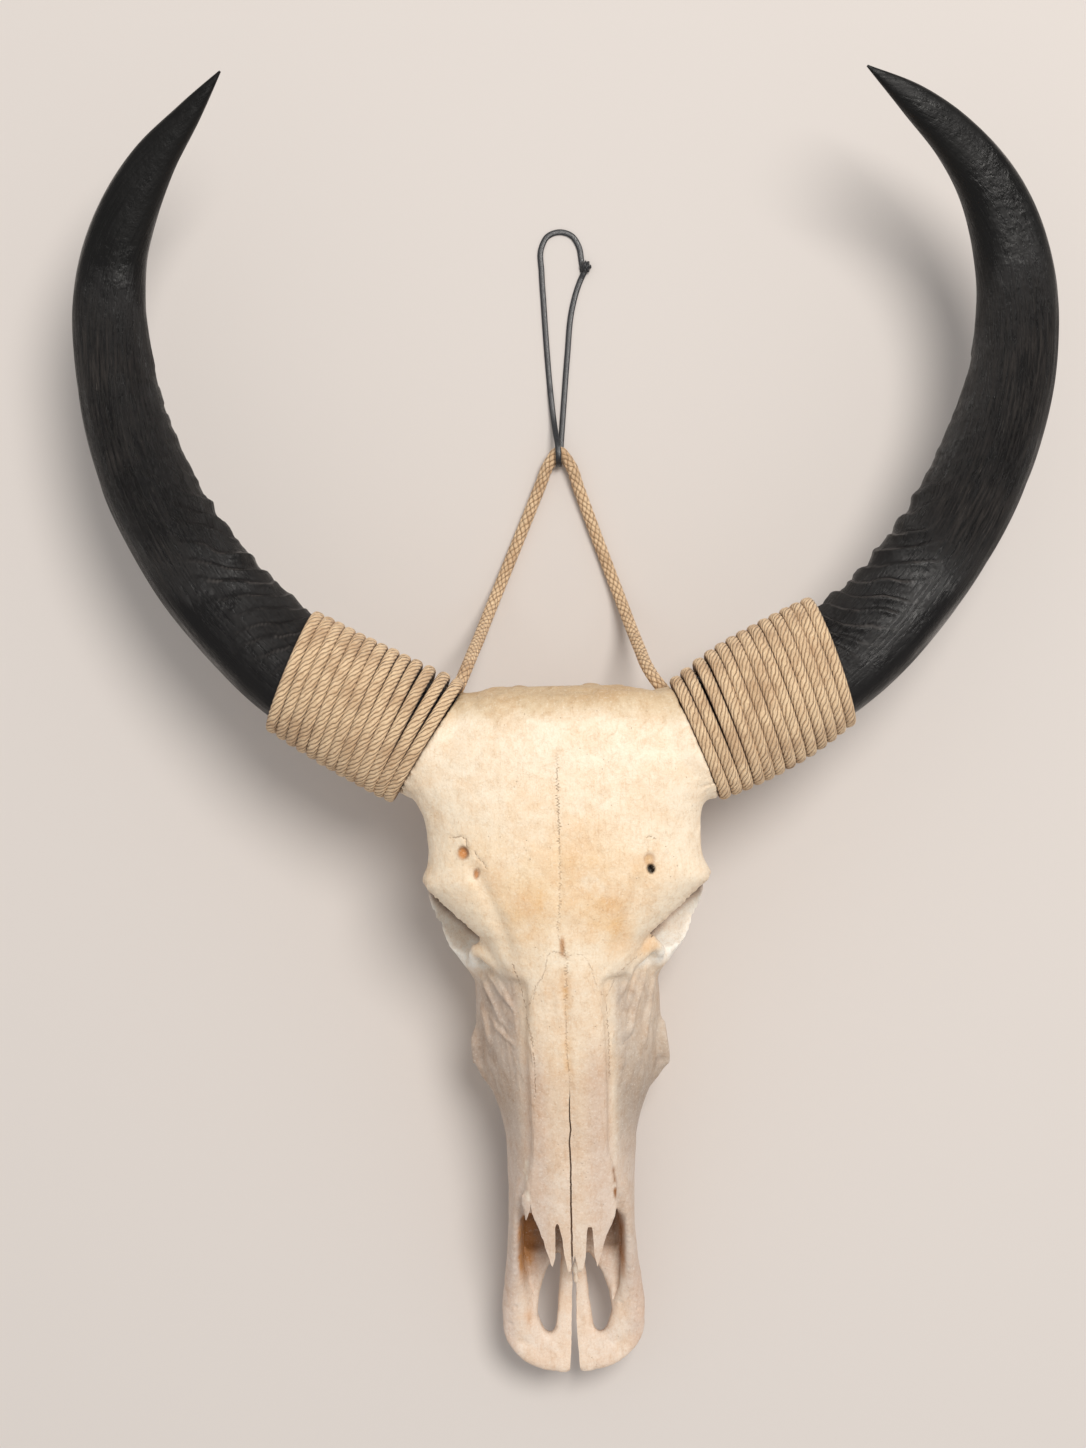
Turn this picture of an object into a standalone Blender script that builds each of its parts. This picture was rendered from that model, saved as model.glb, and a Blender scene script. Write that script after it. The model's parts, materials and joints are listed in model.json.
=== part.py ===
# Skull of a swamp buffalo without its lower jaw, life-size, lying face up on its cheek teeth and the
# back of its base. Rope is wound round both horn bases, and its loop lies on the floor behind the skull.
# Metres, +Z up. The skull's own frame has x = 0 on its middle plane, y towards the horn tips and z = 0 on
# the floor. The last step moves everything so that the origin is the middle of the object's box, at floor
# level, with the rope's loose parts left out of that box.

import math

import bmesh
import bpy
import numpy as np
from mathutils import Vector

MM = 0.001
GAP = 0.3                  # clearance between bones that touch, in mm
VOXEL = 2.2 * MM           # grid on which the forms of the skull are fused
SKULL_FACES = 6500         # triangles left on the fused skull before it is parted

# Frontal bones, in mm: y, half width, crown height, height of the side edge, underside.
FRONTAL = [
    (30.5, 52, 168, 158, 142), (23.5, 80, 183, 166, 132), (9, 98, 193, 170, 126), (-10, 112, 199, 168, 122),
    (-46, 125, 203, 164, 122), (-70, 114, 204, 160, 122), (-90, 111, 203, 158, 122),
    (-112, 112, 201, 156, 122), (-128, 117, 198, 154, 122), (-138, 106, 196, 153, 120),
    (-148, 95.5, 194, 152, 118),
    (-158, 85, 191, 151, 114), (-167, 75, 189, 150, 108), (-174, 67, 188, 148, 104),
    (-186, 62, 185, 144, 100),
    (-206, 55, 181, 136, 100),
]
# Braincase and back of the skull, in mm: y, half width, top, height of the widest place, bottom.
BRAINCASE = [
    (27, 50, 170, 125, 82), (18, 78, 182, 122, 62), (2, 94, 190, 112, 48), (-18, 88, 192, 104, 44),
    (-45, 68, 192, 108, 44), (-85, 60, 190, 110, 50), (-130, 54, 186, 112, 58), (-172, 48, 180, 112, 66),
]
# Face, in mm: y, half width, top, height of the widest place, bottom, roundness above, roundness below.
FACE = [
    (-150, 58, 178, 100, 40, 2.1, 3.4), (-175, 66, 186, 96, 24, 1.9, 4.2), (-200, 74, 182, 92, 19, 1.7, 4.6),
    (-220, 77, 178, 90, 18, 1.65, 4.6), (-245, 77, 173, 88, 18, 1.65, 4.6), (-275, 75, 167, 84, 18, 1.7, 4.4),
    (-296, 70, 162, 80, 18, 1.75, 4.2), (-316, 63, 157, 78, 20, 1.9, 3.8), (-340, 56, 151, 76, 28, 2.1, 3.2),
    (-366, 54, 145, 75, 35, 2.2, 3.0), (-392, 53, 133, 74, 39, 2.3, 3.0), (-408, 52.5, 118, 74, 40, 2.4, 3.0),
]
# Roof of the nose, in mm: y, half width, top, thickness.
NASAL_ROOF = [
    (-180, 30, 187, 30), (-220, 31, 179.5, 24), (-260, 31.5, 171.5, 20), (-300, 32, 162.5, 16),
    (-350, 32, 150.5, 12), (-400, 39.5, 137.5, 9), (-425, 32, 130.5, 8), (-445, 28, 125, 6),
    (-456, 24, 121.5, 4),
]
# Side bar of the premaxilla, in mm: y, outer x, inner x, bottom, top.
PREMAXILLA_BAR = [
    (-380, 52, 28, 40, 122), (-400, 53, 36, 41, 112), (-425, 53.5, 40.5, 42, 101), (-450, 55.5, 41, 43, 88),
    (-475, 58.5, 37, 44, 76), (-498, 61, 32, 44, 68), (-514, 60, 26, 44, 64), (-524, 56.5, 22, 44, 61),
]
# Flat front of the premaxilla seen from above, in mm (right half), and its two faces.
PREMAXILLA_OUTLINE = [
    (0, -446), (36, -446), (40, -480), (56.5, -500), (61, -512), (58.5, -524), (51.5, -535), (40, -545),
    (26, -551), (9, -554), (0, -554),
]
PREMAXILLA_PLATE = (45, 59)
PALATINE_FISSURE = [
    (6.5, -447), (9.5, -468), (11.5, -493), (14, -514), (19.5, -524), (26, -516), (30.5, -502), (28.5, -485),
    (22, -466), (13, -452),
]
FISSURE_SHIFT = 3          # the right one lies this much further from the middle
# Gap between the two halves of the front, in mm: y, left edge, right edge.
MIDLINE_CLEFT = [(-440, 0.6, 3.4), (-480, 0.5, 3.9), (-510, -0.9, 3.4), (-530, -2, 3.9), (-553, -3.7, 5.3)]

# Cheek bone under the eye and the arch behind it, in mm: x, y, z, half thickness, half height.
CHEEK_ARCH = [
    (61, -225, 92, 9, 17), (70, -207, 94, 9, 16), (82, -191, 95, 8, 14), (97, -174, 98, 7, 12),
    (107.5, -154, 102, 5.5, 11), (109.5, -136, 104, 5, 11.5), (107, -112, 102, 4.5, 11),
    (103, -84, 99, 4.5, 11),
    (97, -54, 98, 6, 12), (84, -26, 98, 9, 14),
]
# Bar between the frontal bone and the arch, behind the eye, in mm: x, y, z, half thickness, half width.
EYE_BAR = [
    (109, -124, 156, 7, 9), (108.5, -125, 138, 5, 7.5), (108, -127, 118, 4.5, 7.5), (107, -129, 104, 5, 10),
]
# Front edge of the eye socket, from the small knob beside the notch down to the cheek bone.
EYE_RIM = [(50, -192, 150, 12, 12), (61, -187, 144, 9, 10), (70, -183, 140, 6, 7),
           (75.5, -186, 133, 5.5, 6.5),
           (74, -192, 123, 6.5, 7), (75, -199, 110, 7, 9), (81, -195, 100, 7, 10)]
# Floor of the eye socket, in mm: y, outer x, inner x, top, bottom.
EYE_FLOOR = [(-126, 107, 90, 104, 95), (-140, 108, 72, 107, 88), (-160, 106, 58, 108, 78),
             (-180, 99, 54, 106, 68),
             (-200, 84, 52, 104, 62), (-214, 76, 52, 100, 62)]
NOSE_FLOOR = [(0, -390), (42, -390), (42, -452), (36, -456), (24, -457), (11, -452), (5.5, -447), (0, -447)]
EYE_SOCKET = ((87, -161, 116), (33, 29, 30))
# The socket's opening to the side, in mm: x, y, z, half width, half height.
EYE_MOUTH = [(86, -162, 126, 20, 17), (134, -159, 137, 30, 25)]
STUB_HALVES = (49, 41)     # half width and half height of the bone that carries a horn, at the rope
# Underside: x, y, z, half thickness, half height.
SKULL_BASE = [(0, 10, 60, 24, 14), (0, -40, 56, 22, 13), (0, -100, 60, 17, 13), (0, -160, 70, 14, 16)]
CONDYLE = [
    (15, 12, 80, 7, 8), (26, 21, 68, 12, 11), (31, 22, 52, 14, 12), (23, 16, 38, 13, 9), (12, 4, 36, 9, 7),
]
JUGULAR = [
    (60, -2, 92, 27, 10), (59, -6, 66, 23, 9), (55, -10, 42, 18, 8), (51, -14, 20, 12, 7.5),
    (47, -18, -2, 9, 7),
]
# Hollows in the back of the skull, either side of its middle ridge, and the hole for the spine.
NAPE_HOLLOW = ((36, 52, 124), (27, 26, 32))
SPINE_HOLE = ((0, 26, 62), (17, 36, 15))
PTERYGOID = [(15, -110, 62, 4, 9), (18, -140, 52, 4, 17), (20, -170, 44, 5, 20), (24, -198, 36, 8, 16)]
# Inside of the nose, in mm: y, half width, top, bottom.
NOSE_HOLLOW = [
    (-292, 8, 100, 70), (-300, 18, 118, 62), (-325, 25, 134, 56), (-360, 28, 137, 52),
    (-400, 34, 127.5, 51), (-440, 40, 119.5, 51), (-470, 37.5, 112, 61), (-520, 30, 108, 61),
]
TUBER = [(69, -240, 95, 4), (74.5, -256, 92, 5), (77, -277, 87, 6), (72, -294, 80, 5), (64, -306, 74, 4)]

# Cheek teeth from front to back, in mm: length along the row, width, place across.
TEETH = [(17, 14, 44), (19, 17, 46.5), (19, 20, 49), (26, 23, 51), (30, 24, 52), (31, 22, 51)]
TOOTH_ROW_FRONT = -324
TOOTH_ROOT_TOP = 32
TOOTH_SPACE = 0.7
FOOT_DEPTH = 2             # teeth and rear feet are modelled this far below the floor, then cut at it

# Where the bones part. The other seams are seen from the side.
# The nasal bones are thin plates, in mm: y, half width on the left, half width on the right.
NASAL_EDGE = [
    (-186, 1, 1), (-198, 14, 14), (-210, 21.5, 21.5), (-222, 27, 27), (-234, 30, 30.5), (-262, 28, 32.5),
    (-304, 27, 33), (-330, 27.4, 34.2), (-362, 30, 36.5), (-394, 31.8, 38), (-402, 31.4, 38.6),
    (-414, 27, 34.6), (-425, 23, 29.4), (-439, 19.2, 25.2), (-449, 15.9, 21.8), (-456, 13.5, 19.5),
]
NASAL_THICKNESS = 9
NASAL_COVER = 40           # the cutters reach this far above the nasal bones and past their tips
NASAL_FREE = -396          # in front of this the nasal bones stand free of the cheeks
NASAL_ARCH = (8, 36)       # the free ends sink by this much towards their edges, at this half width
# Notches between the four prongs of the nasal bones, seen from above.
NASAL_NOTCHES = [
    [(-15.9, -450), (-13.2, -441), (-12.9, -424), (-12.5, -414), (-11, -411), (-9.6, -412.5), (-8.6, -417),
     (-6.9, -426), (-6.2, -436), (-3.8, -449), (-2.3, -455.5), (-2.3, -470), (-15.9, -470)],
    [(2.9, -439), (-0.2, -452), (-1.4, -457), (-1.4, -470), (6.6, -470), (6.6, -457), (5.4, -452)],
    [(21.5, -451), (18.8, -438), (18.7, -430), (18.5, -418.5), (17.8, -415.4), (14.6, -415.2),
     (13.9, -418.2), (12.5, -430), (11.7, -441), (9.8, -451), (7.6, -456), (7.6, -470), (21.5, -470)],
]
# Walls of the nose's opening beside the free ends, in mm: y, left, right.
NOSE_MOUTH = [(-395, 32, 38.4), (-400, 32.8, 39.4), (-408, 36, 41.5), (-416, 38.5, 43), (-428, 41, 44),
              (-457, 41, 44)]
PREMAXILLA_SEAM = [(-396, 300), (-399, 112), (-426, 72), (-462, 41), (-462, -20)]
JAW_SEAM = [(-246, 300), (-240, 170), (-232, 92), (-208, 76), (-186, 64), (-174, 44), (-172, -20)]
FRONT_END = -700           # well past the tip of the snout
FAR = 400                  # well past both sides
HIGH = 300                 # well above everything
FREE_GAP = 1.2             # the free ends are parted from what lies under them by this

# How much fuller the right side is and the left side slimmer: y, share of the width.
LOPSIDED = [
    (-600, 0.03), (-480, 0.022), (-450, 0.025), (-395, 0.05), (-340, 0.078), (-300, 0.082), (-215, 0.05),
    (-165, 0.05), (-120, 0.046), (-50, 0.03), (100, 0.012),
]

# Horn centrelines in mm: x, y, z, half width. The two differ as they do on the animal.
HORN_LEFT = [
    (-103.6, -12, 152, 48.5), (-139, 8, 150, 48), (-175, 29, 147, 47.5), (-213, 54, 143, 46),
    (-243, 81, 139, 44.3),
    (-271, 112, 135, 43), (-298, 150, 131, 41.2), (-320, 189, 128, 39.6), (-337, 228, 126, 38),
    (-349, 267, 126, 35.5), (-355.5, 311, 128, 33), (-357, 354, 133, 30.4), (-350, 394, 140, 27.9),
    (-334.5, 431, 150, 24.6), (-313, 465, 161, 19.5), (-282, 499, 175, 11), (-253, 530, 189, 0.9),
]
HORN_RIGHT = [
    (113.5, -17.2, 152, 46), (159, 8, 149, 48.5), (201, 29.5, 145, 47.4), (232, 48, 141, 46),
    (257, 67, 139, 44.6),
    (290, 100, 135, 43), (320, 137, 131, 41.8), (345, 177, 128, 41), (365, 217, 126, 39.8),
    (381, 261, 126, 37.4), (388.5, 305, 128, 35.8), (389.5, 348, 133, 33.4), (382, 390, 140, 30),
    (366, 428, 150, 26), (339, 463.5, 162, 20.2), (304, 493, 176, 13.4), (265, 519, 189, 0.9),
]
HORN_DEPTH = 0.74          # depth of the section over its width
HORN_KEEL = 0.10           # how far the keel stands out, over the half width
HORN_SIDES = 14
HORN_RINGS = 30
BORE_GAP = 0.5             # clearance between a horn and the rope wound round it

# Rope wound round the horn bases. Rings are tilted by the angle of the turns, in degrees from the x axis.
WRAP_TURNS = 13
ROPE_DIAMETER = 10.6 * MM
WRAP_SIDES = 18
WRAP_DEPTH = 0.80
# In mm: centre x, y, z, half width, angle of the turns.
WRAP_LEFT = [
    (-103, -12.5, 152, 58.5, 34), (-138, 5.5, 150, 57.5, 27), (-175, 26, 147, 56, 24),
    (-216, 51, 143, 53.5, 24),
]
WRAP_RIGHT = [
    (113, -17.5, 152, 54, 22), (151, 3.5, 149.5, 59.5, 19), (190, 24, 146.5, 60, 18), (229, 46, 142, 56, 18),
]

# Loose rope and cord, in mm.
HANGER_DIAMETER = 11
HANGER_ROUTE = [
    (-80, 30, 131), (-74, 44, 119), (-68, 60, 90), (-62, 76, 56), (-55, 95, 27), (-46, 117, 11.5),
    (-33.5, 146, 5.8),
    (-19, 179, 5.8), (-5.5, 210, 7.4), (1.6, 226, 9.6), (10.8, 236.5, 10.6), (19.8, 226, 9.6), (27, 205, 7.4),
    (39.5, 168, 5.8), (50.5, 136, 5.8), (61, 105, 11.5), (69, 79, 32), (74.5, 60, 62), (79, 45, 90),
    (85.5, 33, 105), (94.5, 21.5, 110), (104, 12.5, 110.5), (110, 7.5, 113.5), (113, 5, 118),
]
CORD_DIAMETER = 3.8
CORD_ROUTE = [
    (36.5, 394.5, 2.1), (35.5, 405, 2.1), (33.5, 417, 2.1), (27.5, 426.5, 2.1), (17, 430, 2.1),
    (6.5, 426.5, 2.1),
    (1, 417, 2.1), (0.4, 395, 2.1), (1.2, 371, 2.1), (2.8, 330, 2.1), (5, 290, 2.6), (7.4, 262, 7),
    (8.6, 251, 12.6), (9.8, 242, 17.4), (10.2, 236, 18.8), (10.2, 230, 18), (10.2, 225.6, 14.6),
    (10.3, 224.3, 10.6), (10.6, 225.6, 6.4), (11.2, 230, 3), (12.2, 238, 2.1), (13.6, 252, 2.1),
    (16.4, 280, 2.1), (20.8, 322, 2.1), (26, 362, 2.1), (30.5, 378, 2.1), (35, 389, 2.3), (39, 396, 3.2),
]
KNOT_CENTRE = (39, 398.5, 3.6)
KNOT_RADII = (5.2, 6.2, 3.6)
ROPE_GAP = 0.35            # clearance round the rope and the knot
HANGER_POINTS = 56
CORD_POINTS = 64


def clear_scene():
    for obj in list(bpy.data.objects):
        bpy.data.objects.remove(obj, do_unlink=True)


def make_collection(name):
    made = bpy.data.collections.new(name)
    bpy.context.scene.collection.children.link(made)
    return made


def make_material(name, colour, roughness):
    mat = bpy.data.materials.new(name)
    mat.use_nodes = True
    shader = mat.node_tree.nodes["Principled BSDF"]
    shader.inputs["Base Color"].default_value = (*colour, 1)
    shader.inputs["Roughness"].default_value = roughness
    shader.inputs["Metallic"].default_value = 0
    return mat


def smooth_through(knots, at):
    """A cubic curve through rows of numbers, read at the given places; a row's first number is its place."""
    rows = np.array(knots, float)
    place, values = rows[:, 0], rows[:, 1:]
    slope = np.gradient(values, place, axis=0)
    i = np.clip(np.searchsorted(place, at) - 1, 0, len(place) - 2)
    step = (place[i + 1] - place[i])[:, None]
    t = ((at - place[i]) / (place[i + 1] - place[i]))[:, None]
    return ((2 * t**3 - 3 * t**2 + 1) * values[i] + (t**3 - 2 * t**2 + t) * step * slope[i]
            + (3 * t**2 - 2 * t**3) * values[i + 1] + (t**3 - t**2) * step * slope[i + 1])


def along_stations(stations, count):
    """Stations listed from the back forwards, read again at count even places along y."""
    rows = np.array(sorted(stations), float)
    at = np.linspace(rows[0, 0], rows[-1, 0], count)
    return np.column_stack([at, smooth_through(rows, at)])


def along_route(points, count):
    """A smooth curve through points in space, by their distance along it, with the other columns carried along."""
    rows = np.array(points, float)
    gone = np.r_[0, np.cumsum(np.linalg.norm(np.diff(rows[:, :3], axis=0), axis=1))]
    return smooth_through(np.column_stack([gone, rows]), np.linspace(0, gone[-1], count))


def object_from(name, verts, faces, collection):
    mesh = bpy.data.meshes.new(name)
    mesh.from_pydata([tuple(v) for v in verts], [], faces)
    mesh.validate()
    bm = bmesh.new()
    bm.from_mesh(mesh)
    bmesh.ops.recalc_face_normals(bm, faces=bm.faces)
    bm.to_mesh(mesh)
    bm.free()
    obj = bpy.data.objects.new(name, mesh)
    collection.objects.link(obj)
    return obj


def loft(name, rings, collection):
    """A closed skin over rings of equal point counts, with a flat cap at each end."""
    rings = np.array(rings, float)
    count, sides = rings.shape[:2]
    faces = []
    for i in range(count - 1):
        for j in range(sides):
            k = (j + 1) % sides
            faces.append((i * sides + j, i * sides + k, (i + 1) * sides + k, (i + 1) * sides + j))
    faces.append(tuple(range(sides)))
    faces.append(tuple(range((count - 1) * sides, count * sides)))
    return object_from(name, rings.reshape(-1, 3), faces, collection)


def power(value, exponent):
    return np.sign(value) * np.abs(value) ** exponent


def egg_ring(y, half, top, wide, bottom, upper=2.4, lower=2.4, sides=40):
    """A section across the skull: one rounded half above its widest place and another below it."""
    a = np.arange(sides) * 2 * math.pi / sides
    round_by = np.where(np.sin(a) >= 0, upper, lower)
    reach = np.where(np.sin(a) >= 0, top - wide, wide - bottom)
    x = half * power(np.cos(a), 2 / round_by)
    z = wide + reach * power(np.sin(a), 2 / round_by)
    return np.column_stack([x, np.full(sides, y), z]) * MM


def tube(name, route, count, collection, sides=16):
    """A limb with an oval section through rows of x, y, z, half thickness and half height."""
    rows = along_route([(*r, r[3]) if len(r) == 4 else r for r in route], count)
    rings = []
    for i, row in enumerate(rows):
        ahead = Vector(rows[min(i + 1, count - 1), :3] - rows[max(i - 1, 0), :3]).normalized()
        up = Vector((0, 0, 1)) if abs(ahead.z) < 0.8 else Vector((0, 1, 0))
        side = ahead.cross(up).normalized()
        up = side.cross(ahead)
        a = np.arange(sides) * 2 * math.pi / sides
        ring = row[:3] + np.outer(np.cos(a) * row[3], side) + np.outer(np.sin(a) * row[4], up)
        rings.append(ring * MM)
    return loft(name, rings, collection)


def ellipsoid(name, centre, radii, collection, around=24):
    bm = bmesh.new()
    bmesh.ops.create_uvsphere(bm, u_segments=around, v_segments=around * 2 // 3, radius=1)
    for v in bm.verts:
        v.co = Vector(tuple((c + r * p) * MM for c, r, p in zip(centre, radii, v.co)))
    mesh = bpy.data.meshes.new(name)
    bm.to_mesh(mesh)
    bm.free()
    obj = bpy.data.objects.new(name, mesh)
    collection.objects.link(obj)
    return obj


def prism(name, outline, low, high, collection):
    """An upright prism over an outline in mm, seen from above."""
    n = len(outline)
    verts = [(x * MM, y * MM, z * MM) for z in (low, high) for x, y in outline]
    faces = [tuple(range(n)), tuple(range(n, 2 * n))]
    faces += [(i, (i + 1) % n, n + (i + 1) % n, n + i) for i in range(n)]
    return object_from(name, verts, faces, collection)


def evaluated_mesh(obj):
    graph = bpy.context.evaluated_depsgraph_get()
    return bpy.data.meshes.new_from_object(obj.evaluated_get(graph), depsgraph=graph)


def apply_modifiers(obj):
    mesh = evaluated_mesh(obj)
    old = obj.data
    obj.modifiers.clear()
    obj.data = mesh
    if isinstance(old, bpy.types.Mesh) and not old.users:
        bpy.data.meshes.remove(old)
    return obj


def join_loose(name, objects, collection):
    """All meshes in one object, still as overlapping shells."""
    bm = bmesh.new()
    for obj in objects:
        bm.from_mesh(obj.data)
        bpy.data.objects.remove(obj)
    mesh = bpy.data.meshes.new(name)
    bm.to_mesh(mesh)
    bm.free()
    made = bpy.data.objects.new(name, mesh)
    collection.objects.link(made)
    return made


def fuse(obj, voxel, smooth_rounds):
    remesh = obj.modifiers.new("fuse", "REMESH")
    remesh.mode = "VOXEL"
    remesh.voxel_size = voxel
    if smooth_rounds:
        soften = obj.modifiers.new("soften", "SMOOTH")
        soften.factor = 0.5
        soften.iterations = smooth_rounds
    return apply_modifiers(obj)


def boolean(obj, others, operation, solver="EXACT"):
    """Cuts or joins with all the other objects, one after another, and removes them."""
    for other in others:
        mod = obj.modifiers.new("boolean", "BOOLEAN")
        mod.object = other
        mod.operation = operation
        mod.solver = solver
        apply_modifiers(obj)
        bpy.data.objects.remove(other)
    return obj


def copy_of(obj, name, collection):
    made = bpy.data.objects.new(name, obj.data.copy())
    collection.objects.link(made)
    return made


def keep_largest(obj):
    """Keeps the closed surface with the most faces and drops scraps."""
    bm = bmesh.new()
    bm.from_mesh(obj.data)
    bmesh.ops.remove_doubles(bm, verts=bm.verts, dist=1e-6)
    left, groups = set(bm.verts), []
    while left:
        group, todo = set(), [left.pop()]
        while todo:
            v = todo.pop()
            group.add(v)
            for e in v.link_edges:
                other = e.other_vert(v)
                if other in left:
                    left.discard(other)
                    todo.append(other)
        groups.append(group)
    groups.sort(key=len)
    loose = [v for group in groups[:-1] for v in group]
    bmesh.ops.delete(bm, geom=loose, context="VERTS")
    bmesh.ops.triangulate(bm, faces=bm.faces)
    bm.to_mesh(obj.data)
    bm.free()
    return obj


def side_prism(name, outline, half, collection):
    """A prism over an outline in mm seen from the side, as wide as twice half."""
    n = len(outline)
    verts = [(x * MM, y * MM, z * MM) for x in (-half, half) for y, z in outline]
    faces = [tuple(range(n)), tuple(range(n, 2 * n))]
    faces += [(i, (i + 1) % n, n + (i + 1) % n, n + i) for i in range(n)]
    return object_from(name, verts, faces, collection)


def finish_node(obj, mat, collection):
    for held in list(obj.users_collection):
        held.objects.unlink(obj)
    collection.objects.link(obj)
    obj.data.materials.clear()
    obj.data.materials.append(mat)
    obj.data.shade_smooth()
    obj.data.set_sharp_from_angle(angle=math.radians(50))
    return obj


def flip(side, rows):
    """Rows given for the right side, moved to the left one where side is -1."""
    return [(side * row[0], *row[1:]) for row in rows]


def nasal_sag(y, x):
    """How far the arched free ends of the nasal bones lie below their middle, at a place in mm."""
    sink, half = NASAL_ARCH
    share = np.clip((-330 - y) / 60, 0, 1)
    return sink * share * share * (3 - 2 * share) * (x / half) ** 2


def skull_forms(collection):
    """The overlapping forms that are fused into the bony skull."""
    forms = []
    rings = [egg_ring(*row, 2.3, 2.6) for row in along_stations(FRONTAL, 60)]
    forms.append(loft("frontal", rings, collection))
    rings = [egg_ring(*row, 2.3, 2.3) for row in along_stations(BRAINCASE, 40)]
    forms.append(loft("braincase", rings, collection))
    rings = [egg_ring(*row) for row in along_stations(FACE, 60)]
    forms.append(loft("face", rings, collection))
    rings = [egg_ring(y, half, top, top - thick / 2, top - thick, 2.6, 3.0)
             for y, half, top, thick in along_stations(NASAL_ROOF, 50)]
    for ring in rings:
        ring[:, 2] -= nasal_sag(ring[0, 1] / MM, ring[:, 0] / MM) * MM
    forms.append(loft("nasal_roof", rings, collection))
    forms.append(tube("skull_base", SKULL_BASE, 24, collection))
    for side in (-1, 1):
        forms.append(tube("arch", flip(side, CHEEK_ARCH), 44, collection))
        forms.append(tube("eye_bar", flip(side, EYE_BAR), 14, collection))
        forms.append(tube("tuber", flip(side, TUBER), 24, collection))
        forms.append(tube("eye_rim", flip(side, EYE_RIM), 24, collection))
        rings = []
        for y, outer, inner, top, bottom in along_stations(EYE_FLOOR, 24):
            ring = egg_ring(y, (outer - inner) / 2, top, (top + bottom) / 2, bottom, 3, 3, 24)
            rings.append(ring + np.array([side * (outer + inner) / 2 * MM, 0, 0]))
        forms.append(loft("eye_floor", rings, collection))
        forms.append(prism("nose_floor", [(side * x, y) for x, y in NOSE_FLOOR], 41, 50.5, collection))
        horn = HORN_LEFT if side < 0 else HORN_RIGHT
        stub = [(side * 62, -24, 160, 36, 27), (side * 84, -21, 156, 46, 36), (*horn[0][:3], *STUB_HALVES),
                (*horn[1][:3], *STUB_HALVES)]
        forms.append(tube("horn_stub", stub, 12, collection, 28))
        forms.append(tube("condyle", flip(side, CONDYLE), 10, collection))
        forms.append(tube("jugular", flip(side, JUGULAR), 16, collection))
        forms.append(ellipsoid("bulla", (side * 40, -46, 50), (15, 20, 20), collection))
        forms.append(tube("pterygoid", flip(side, PTERYGOID), 18, collection))
        rings = []
        for y, outer, inner, bottom, top in along_stations(PREMAXILLA_BAR, 34):
            ring = egg_ring(y, (outer - inner) / 2, top, (top + 2 * bottom) / 3, bottom, 2.2, 2.8, 24)
            rings.append(ring + np.array([side * (outer + inner) / 2 * MM, 0, 0]))
        forms.append(loft("premaxilla_bar", rings, collection))
        outline = [(side * x, y) for x, y in PREMAXILLA_OUTLINE]
        forms.append(prism("premaxilla_plate", outline, *PREMAXILLA_PLATE, collection))
    return forms


def skull_hollows(collection):
    """Cutters for the eye sockets, the nose, the palate and the other large openings."""
    cuts = []
    for side in (-1, 1):
        (x, y, z), radii = EYE_SOCKET
        cuts.append(ellipsoid("eye_socket", (side * x, y, z), radii, collection))
        cuts.append(tube("eye_mouth", flip(side, EYE_MOUTH), 6, collection, 24))
        cuts.append(ellipsoid("temporal_hollow", (side * 86, -84, 118), (21, 36, 34), collection))
        shift = FISSURE_SHIFT if side > 0 else 0
        outline = [(side * a + shift, b) for a, b in PALATINE_FISSURE]
        cuts.append(prism("palatine_fissure", outline, 20, 90, collection))
        cuts.append(ellipsoid("choana", (side * 11, -168, 54), (8, 46, 15), collection))
        (x, y, z), radii = NAPE_HOLLOW
        cuts.append(ellipsoid("nape_hollow", (side * x, y, z), radii, collection))
    rings = [egg_ring(y, half, top, (top + low) / 2, low, 2.6, 3) for y, half, top, low in NOSE_HOLLOW]
    cuts.append(loft("nose", rings, collection))
    cuts.append(ellipsoid("palate", (0, -262, 18), (36, 92, 20), collection))
    cuts.append(ellipsoid("spine_hole", *SPINE_HOLE, collection))
    return cuts


def build_skull(work):
    skull = join_loose("skull", skull_forms(work), work)
    fuse(skull, VOXEL, 2)
    boolean(skull, skull_hollows(work), "DIFFERENCE")
    fuse(skull, VOXEL, 2)
    thin = skull.modifiers.new("thin", "DECIMATE")
    thin.ratio = SKULL_FACES / (2 * len(skull.data.polygons))
    thin.use_collapse_triangulate = True
    apply_modifiers(skull)
    lopsided(skull)
    return keep_largest(skull)


def lopsided(obj):
    """The right of the face is a little fuller than the left, as on the animal."""
    co = np.empty(len(obj.data.vertices) * 3)
    obj.data.vertices.foreach_get("co", co)
    co = co.reshape(-1, 3)
    share = smooth_through(LOPSIDED, np.clip(co[:, 1] / MM, LOPSIDED[0][0], LOPSIDED[-1][0]))[:, 0]
    soft = 12 * MM
    co[:, 0] += share * (np.sqrt(co[:, 0] ** 2 + soft**2) - soft)
    obj.data.vertices.foreach_set("co", co.ravel())


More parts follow.
